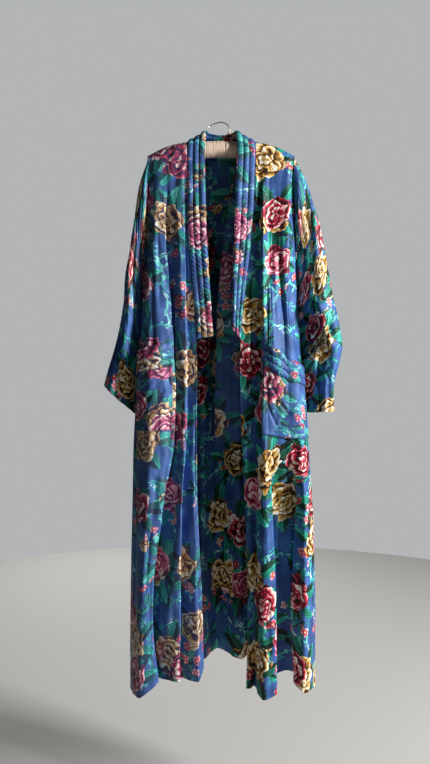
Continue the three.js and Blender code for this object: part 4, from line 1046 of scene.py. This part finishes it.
def make_band(name, panel_grid, edge, sign, place):
    """A tucked band from a front's free edge, with slanting pull wrinkles on its tucks."""
    table = np.array(edge, float)
    keys = -table[:, 0]
    seam, along = resampled(panel_grid[:, -1], BAND_STEP)
    above_waist = seam[:, 2] > WAIST_Z
    seam = seam[above_waist]
    along = along[above_waist]
    seam[:, 0] -= sign * SEAM_GAP
    at = np.clip(-seam[:, 2], keys[0], keys[-1])
    free = np.stack([through(keys, table[:, k], at) for k in (1, 2, 3)], axis=1)
    free[0, 1] = seam[0, 1] + 2
    across_band, lift = tuck_profile()
    grid = ruled(seam, free, across_band)
    normal = normals_of(grid)
    normal = outwards(normal, normal[:, :, 1:2] > 0.3)
    share = along / along[-1]
    waver_along = TUCK_WAVER["depth"] * np.sin(share * TUCK_WAVER["along"] + TUCK_WAVER["phase"])
    waver = 1 + waver_along[:, None] * np.sin(across_band * TUCK_WAVER["across"])[None, :]
    slant = along[:, None] / PULL["period"] - across_band[None, :] * PULL["slant"]
    slant = slant + PULL["wander"] * np.sin(along / PULL["wander_over"])[:, None]
    strength = lerp(PULL["weak"], 1, np.clip((share - PULL["weak_until"]) * 3, 0, 1))
    strength *= np.clip((1 - share) * 20, 0, 1)
    pull = PULL["depth"] * strength[:, None] * np.sin(math.tau * slant) * np.clip(lift, 0, 1)[None, :]
    grid = grid + normal * (TUCK_LIFT * lift[None, :] * waver + pull)[:, :, None]
    tucks = from_tucks(flat_lengths(grid)[0])
    wall(name, grid, BAND_CLOTH, place, tucks, rims={0: Y_AXIS}, reverse=sign)


make_band("cloth_band_right", right_cloth[0], RIGHT_BAND_EDGE, -1, place=(5.1, 0.3))
make_band("cloth_band_left", left_cloth[0], LEFT_BAND_EDGE, 1, place=(5.8, 0.1))


def make_neck_band():
    """The same band round the back of the neck, standing on the back's top edge."""
    inside = np.abs(back_grid[0, :, 0]) <= NECK_HALF + 1e-6
    seam = back_grid[0][inside].copy()
    share = seam[:, 0] / NECK_HALF
    round_back = np.sqrt(np.clip(1 - share**2, 0, 1))
    free = np.stack([NECK_EDGE["half"] * share, seam[:, 1] + NECK_EDGE["y"] - NECK_EDGE["lean"] * round_back,
                     NECK_EDGE["z"] - NECK_EDGE["dip"] * round_back], axis=1)
    seam[:, 2] += 2 * SEAM_GAP
    across_band, lift = tuck_profile()
    grid = ruled(seam, free, across_band)
    normal = normals_of(grid)
    normal = outwards(normal, normal[:, :, 2:3] + normal[:, :, 1:2] < 0)
    grid = grid + normal * (TUCK_LIFT * lift[None, :])[:, :, None]
    unstitched = np.full(grid.shape[:2], float(NO_EDGE))
    wall("cloth_band_neck", grid, BAND_CLOTH, place=(6.6, 0.2), edge=unstitched,
         rims={0: Y_AXIS, -1: Y_AXIS})


make_neck_band()


# Pockets lie on the fronts, made from their points and moved out
def on_panel(panel, u, z):
    """Points of a panel, given as its grid and columns, at fold-line places u and heights z."""
    grid, panel_u = panel
    result = np.empty(u.shape + (3,))
    flat_u = u.ravel()
    flat_z = z.ravel()
    out = result.reshape(-1, 3)
    start = len(BAR_SHARES)
    for n, (place, height) in enumerate(zip(flat_u, flat_z)):
        column = np.clip(np.searchsorted(panel_u, place, side="right") - 1, 0, len(panel_u) - 2)
        part = (place - panel_u[column]) / (panel_u[column + 1] - panel_u[column])
        ends = []
        for c in (column, column + 1):
            heights = grid[start:, c, 2]
            row = np.clip(np.searchsorted(-heights, -height, side="right") - 1, 0, len(heights) - 2)
            share = (heights[row] - height) / (heights[row] - heights[row + 1])
            ends.append(lerp(grid[start + row, c], grid[start + row + 1, c], share))
        out[n] = lerp(ends[0], ends[1], part)
    return result


def make_pocket(suffix, panel, pocket, sign, drags, place):
    """A patch pocket and its tucked band, from their places on a front."""
    u_line = np.linspace(pocket["outer"], pocket["inner"], POCKET_COUNT)
    share = (u_line - pocket["outer"]) / (pocket["inner"] - pocket["outer"])
    bottom = lerp(*pocket["bottom"], share)
    top = lerp(*pocket["top"], share)
    split = 1 - POCKET_BAND_SHARE

    def sheet_at(up):
        """Points and normals of the pocket at shares of its height."""
        up = np.repeat(up[:, None], len(u_line), axis=1)
        u = np.repeat(u_line[None], len(up), axis=0)
        z = lerp(bottom[None], top[None], up)
        base = on_panel(panel, u, z)
        step_u = SLOPE_REACH["u"]
        step_z = SLOPE_REACH["z"]
        wide = on_panel(panel, np.clip(u + step_u, 0, panel[1][-1]), z) - on_panel(panel, u - step_u, z)
        tall = on_panel(panel, u, z + step_z) - on_panel(panel, u, z - step_z)
        normal = unit(np.cross(wide, tall))
        normal = outwards(normal, normal[:, :, 1:2] > 0)
        pouch = pocket["pouch"] * np.sin(np.pi * share)[None] ** POUCH["side_power"]
        pouch = pouch * np.sin(up * POUCH["up_angle"]) ** POUCH["up_power"]
        drag = np.zeros_like(pouch)
        for a0, b0, a1, b1, width, depth in drags:
            run = (a1 - a0) ** 2 + (b1 - b0) ** 2
            part = np.clip(((share[None] - a0) * (a1 - a0) + (up - b0) * (b1 - b0)) / run, 0, 1)
            off = np.hypot(share[None] - lerp(a0, a1, part), (up - lerp(b0, b1, part)) * DRAG_TALL)
            drag += depth * bell(off, width) * np.sin(np.pi * np.clip(part, 0.02, 0.98)) ** 0.5
        edge = np.minimum(1, np.minimum(share, 1 - share)[None] * 8) * np.minimum(1, up * 8)
        return base + normal * (POCKET_LIFT + pouch + drag * edge)[:, :, None], normal

    body, normal = sheet_at(np.linspace(0, split, POCKET_COUNT))
    u, v = flat_lengths(body)
    inside = np.minimum(from_sides(u), v) - POCKET_STITCH
    body = body + normal * (POCKET_TURN * bell(inside, POCKET_STITCH))[:, :, None]
    wall("cloth_pocket_" + suffix, body, CLOTH, place, inside, reverse=-sign)
    across_band, lift = tuck_profile()
    band, normal = sheet_at(lerp(split + SEAM_GAP / 200, 1, across_band))
    band = band + normal * (POCKET_TUCK_LIFT * (1 + lift))[:, None, None]
    tucks = from_tucks(flat_lengths(band)[1].T).T
    wall("cloth_pocket_band_" + suffix, band, CLOTH, (place[0] + 0.4, place[1]), tucks, reverse=-sign)


# Drag folds of the pockets: share of the width and height at both ends, half width and depth
RIGHT_DRAGS = [
    (0.15, 0.05, 0.75, 0.6, 0.06, -3.6), (0.1, 0.3, 0.5, 0.68, 0.05, -3.0), (0.55, 0.1, 0.9, 0.5, 0.05, 2.6),
    (0.3, 0.08, 0.85, 0.34, 0.05, -2.6), (0.2, 0.5, 0.8, 0.7, 0.04, 2.0),
]
LEFT_DRAGS = [
    (0.1, 0.5, 0.55, 0.12, 0.06, -4.0), (0.2, 0.66, 0.8, 0.3, 0.05, -3.6), (0.45, 0.7, 0.95, 0.5, 0.05, 2.8),
    (0.6, 0.1, 0.9, 0.35, 0.05, -3.0), (0.3, 0.3, 0.86, 0.6, 0.04, -2.6), (0.12, 0.2, 0.4, 0.1, 0.05, 2.2),
]
make_pocket("right", right_cloth, RIGHT_POCKET, -1, RIGHT_DRAGS, place=(7.2, 0.4))
make_pocket("left", left_cloth, LEFT_POCKET, 1, LEFT_DRAGS, place=(8.3, 0.1))


# Sash, doubled over the bar
def make_sash():
    """The sash from the end of its front tail, up over the bar and down to the end behind it."""
    table = np.array(SASH_FRONT, float)
    keys = table[:, 0]
    span = np.linspace(-1, 1, 45)
    heights = np.linspace(keys[0], keys[-1], SASH_ROWS)
    falling = np.linspace(keys[-1], SASH_BACK["bottom"], SASH_ROWS)
    y, middle, half = (through(keys, table[:, k], heights) for k in (1, 2, 3))
    back_middle, back_half = (through(keys, table[:, k], falling) for k in (2, 3))
    radius = BAR["radius"] + SASH_OVER_BAR
    near_bar = np.clip((falling - SASH_BACK["leave_z"]) / SASH_BACK["leave_over"], 0, 1)
    back_y = lerp(SASH_BACK["y"], radius - 1, near_bar)
    arc = np.linspace(0, np.pi, 33)[1:-1]
    centre = np.concatenate([middle, np.full(len(arc), middle[-1]), back_middle])
    wide = np.concatenate([half, np.full(len(arc), half[-1]), back_half])
    x = centre[:, None] + wide[:, None] * span[None]
    z = np.concatenate([heights, np.zeros(len(arc)), falling])[:, None] + np.zeros_like(x)
    on_bar = slice(SASH_ROWS, SASH_ROWS + len(arc))
    z[on_bar] = bar_z(x[on_bar]) + radius * np.sin(arc)[:, None]
    y = np.concatenate([y, -radius * np.cos(arc), back_y])
    grid = np.stack([x, np.repeat(y[:, None], len(span), axis=1), z], axis=2)
    bunched = np.clip((table[0, 3] - wide) / (table[0, 3] - half[-1]), 0, 1)
    hanging = z[:, 0] < SASH_GATHERS["end_z"]
    wave = np.sin(np.pi * SASH_GATHERS["count"] * (span + 1) / 2) ** 2
    gather = np.where(hanging, bunched, 0)[:, None] * SASH_GATHERS["depth"] * wave[None]
    fold = sum(depth * bell(span - middle_at, width) for middle_at, width, depth in SASH_FOLDS)
    hollow = np.where(hanging, 1, 0)[:, None] * fold[None]
    normal = normals_of(grid)
    outward = np.sign(-normal[0, len(span) // 2, 1])
    grid = grid + normal * (outward * (gather + hollow))[:, :, None]
    u, v = flat_lengths(grid)
    inside = np.minimum(from_sides(u), np.minimum(v, v[-1:] - v)) - POCKET_STITCH
    wall("cloth_sash", grid, CLOTH, place=(9.4, 0.3), edge=inside)


make_sash()


# Hanger
def make_bar():
    """The padded bar: rings along it, closer at its ends, with a tip at each end."""
    stations = 260
    sides = 40
    along = -np.cos(np.linspace(0, np.pi, stations)) * BAR["half"] * BAR["end_inset"]
    angle = np.arange(sides) * math.tau / sides
    round_end = np.sqrt(np.clip(1 - (along / BAR["half"]) ** BAR["end_power"], 0, 1))
    turns, shift = RUCHES["wander"]
    wander = shift * np.sin(along * turns)
    turns, shift, height = RUCHES["fine"]
    gather = np.sin(along * turns + shift + wander) * height
    turns, shift, height = RUCHES["tight"]
    gather += np.sin(along * turns + shift) * height
    turns, height = RUCHES["round"]
    ripple = gather[:, None] * (1 + height * np.sin(angle * 2 + along[:, None] * turns)) - RUCHE_SINK
    radius = (bar_radius(along) * round_end)[:, None] + ripple * round_end[:, None]
    grid = np.stack([np.repeat(along[:, None], sides, axis=1), radius * np.cos(angle)[None],
                     bar_z(along)[:, None] + radius * np.sin(angle)[None]], axis=2)
    tips = [[sign * BAR["half"], 0, bar_z(BAR["half"])] for sign in (-1, 1)]
    points = np.concatenate([grid.reshape(-1, 3), tips])
    left_tip = stations * sides
    last_ring = left_tip - sides
    faces = []
    for j in range(sides):
        following = (j + 1) % sides
        for start in range(0, last_ring, sides):
            faces.append((start + j, start + sides + j, start + sides + following, start + following))
        faces.append((left_tip, j, following))
        faces.append((left_tip + 1, last_ring + following, last_ring + j))
    mesh = bpy.data.meshes.new("padded_bar")
    mesh.from_pydata((points * MM).tolist(), [], faces)
    mesh.polygons.foreach_set("use_smooth", np.ones(len(faces), bool))
    mesh.update()
    mesh.materials.append(satin())
    return finish_piece(mesh, "hanger_bar")


make_bar()
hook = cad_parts["hanger_hook"]
hook.data.materials.clear()
hook.data.materials.append(brass())
for polygon in hook.data.polygons:
    polygon.use_smooth = True


# Scene: pale floor, soft light from the right, the photograph's camera
SKY_STRENGTH = 0.018
BACKDROP_STRENGTH = 0.5


def add_floor():
    bpy.ops.mesh.primitive_circle_add(vertices=128, radius=2.6, fill_type="NGON", location=(0, 0, -1.75))
    floor = bpy.context.object
    floor.name = "studio_floor"
    material = new_material("studio_floor", {"Base Color": (0.5, 0.5, 0.49, 1), "Roughness": 0.9})[0]
    floor.data.materials.append(material)


def add_light(name, place, aim, size, power, tint):
    data = bpy.data.lights.new(name, "AREA")
    data.shape = "RECTANGLE"
    data.size, data.size_y = size
    data.energy = power
    data.color = tint
    light = bpy.data.objects.new(name, data)
    light.location = place
    direction = np.array(aim) - np.array(place)
    light.rotation_euler = Vector(direction).to_track_quat("-Z", "Y").to_euler()
    bpy.context.collection.objects.link(light)


add_floor()
add_light("window", (2.55, -1.2, 0.2), (0, 0, -0.8), (0.5, 1.3), 160, (1.0, 0.98, 0.95))
add_light("fill", (-1.2, -2.6, 0.4), (0, 0, -0.7), (1.6, 1.6), 2.4, (0.92, 0.96, 1.0))
add_light("back_window", (-0.9, 2.9, 0.3), (0, 0, -0.7), (0.8, 1.2), 66, (1.0, 0.98, 0.95))
world = bpy.data.worlds.new("studio")
world.use_nodes = True
sky = Graph(world.node_tree)
backdrop = world.node_tree.nodes["Background"]
backdrop.inputs["Color"].default_value = (0.9, 0.92, 0.94, 1)
seen = sky.node("ShaderNodeLightPath")["Is Camera Ray"]
strength = sky.times_plus(seen, BACKDROP_STRENGTH - SKY_STRENGTH, SKY_STRENGTH)
sky.put(backdrop.inputs["Strength"], strength)
bpy.context.scene.world = world
bpy.context.scene.view_settings.view_transform = "Standard"

camera_data = bpy.data.cameras.new("photo_camera")
camera_data.sensor_fit = "VERTICAL"
camera_data.sensor_height = SENSOR_MM
camera_data.lens = FOCAL_PX / FRAME_HEIGHT_PX * SENSOR_MM
camera = bpy.data.objects.new("photo_camera", camera_data)
camera.location = CAMERA_PLACE
camera.rotation_euler = (math.pi / 2, 0, 0)
bpy.context.collection.objects.link(camera)
bpy.context.scene.camera = camera
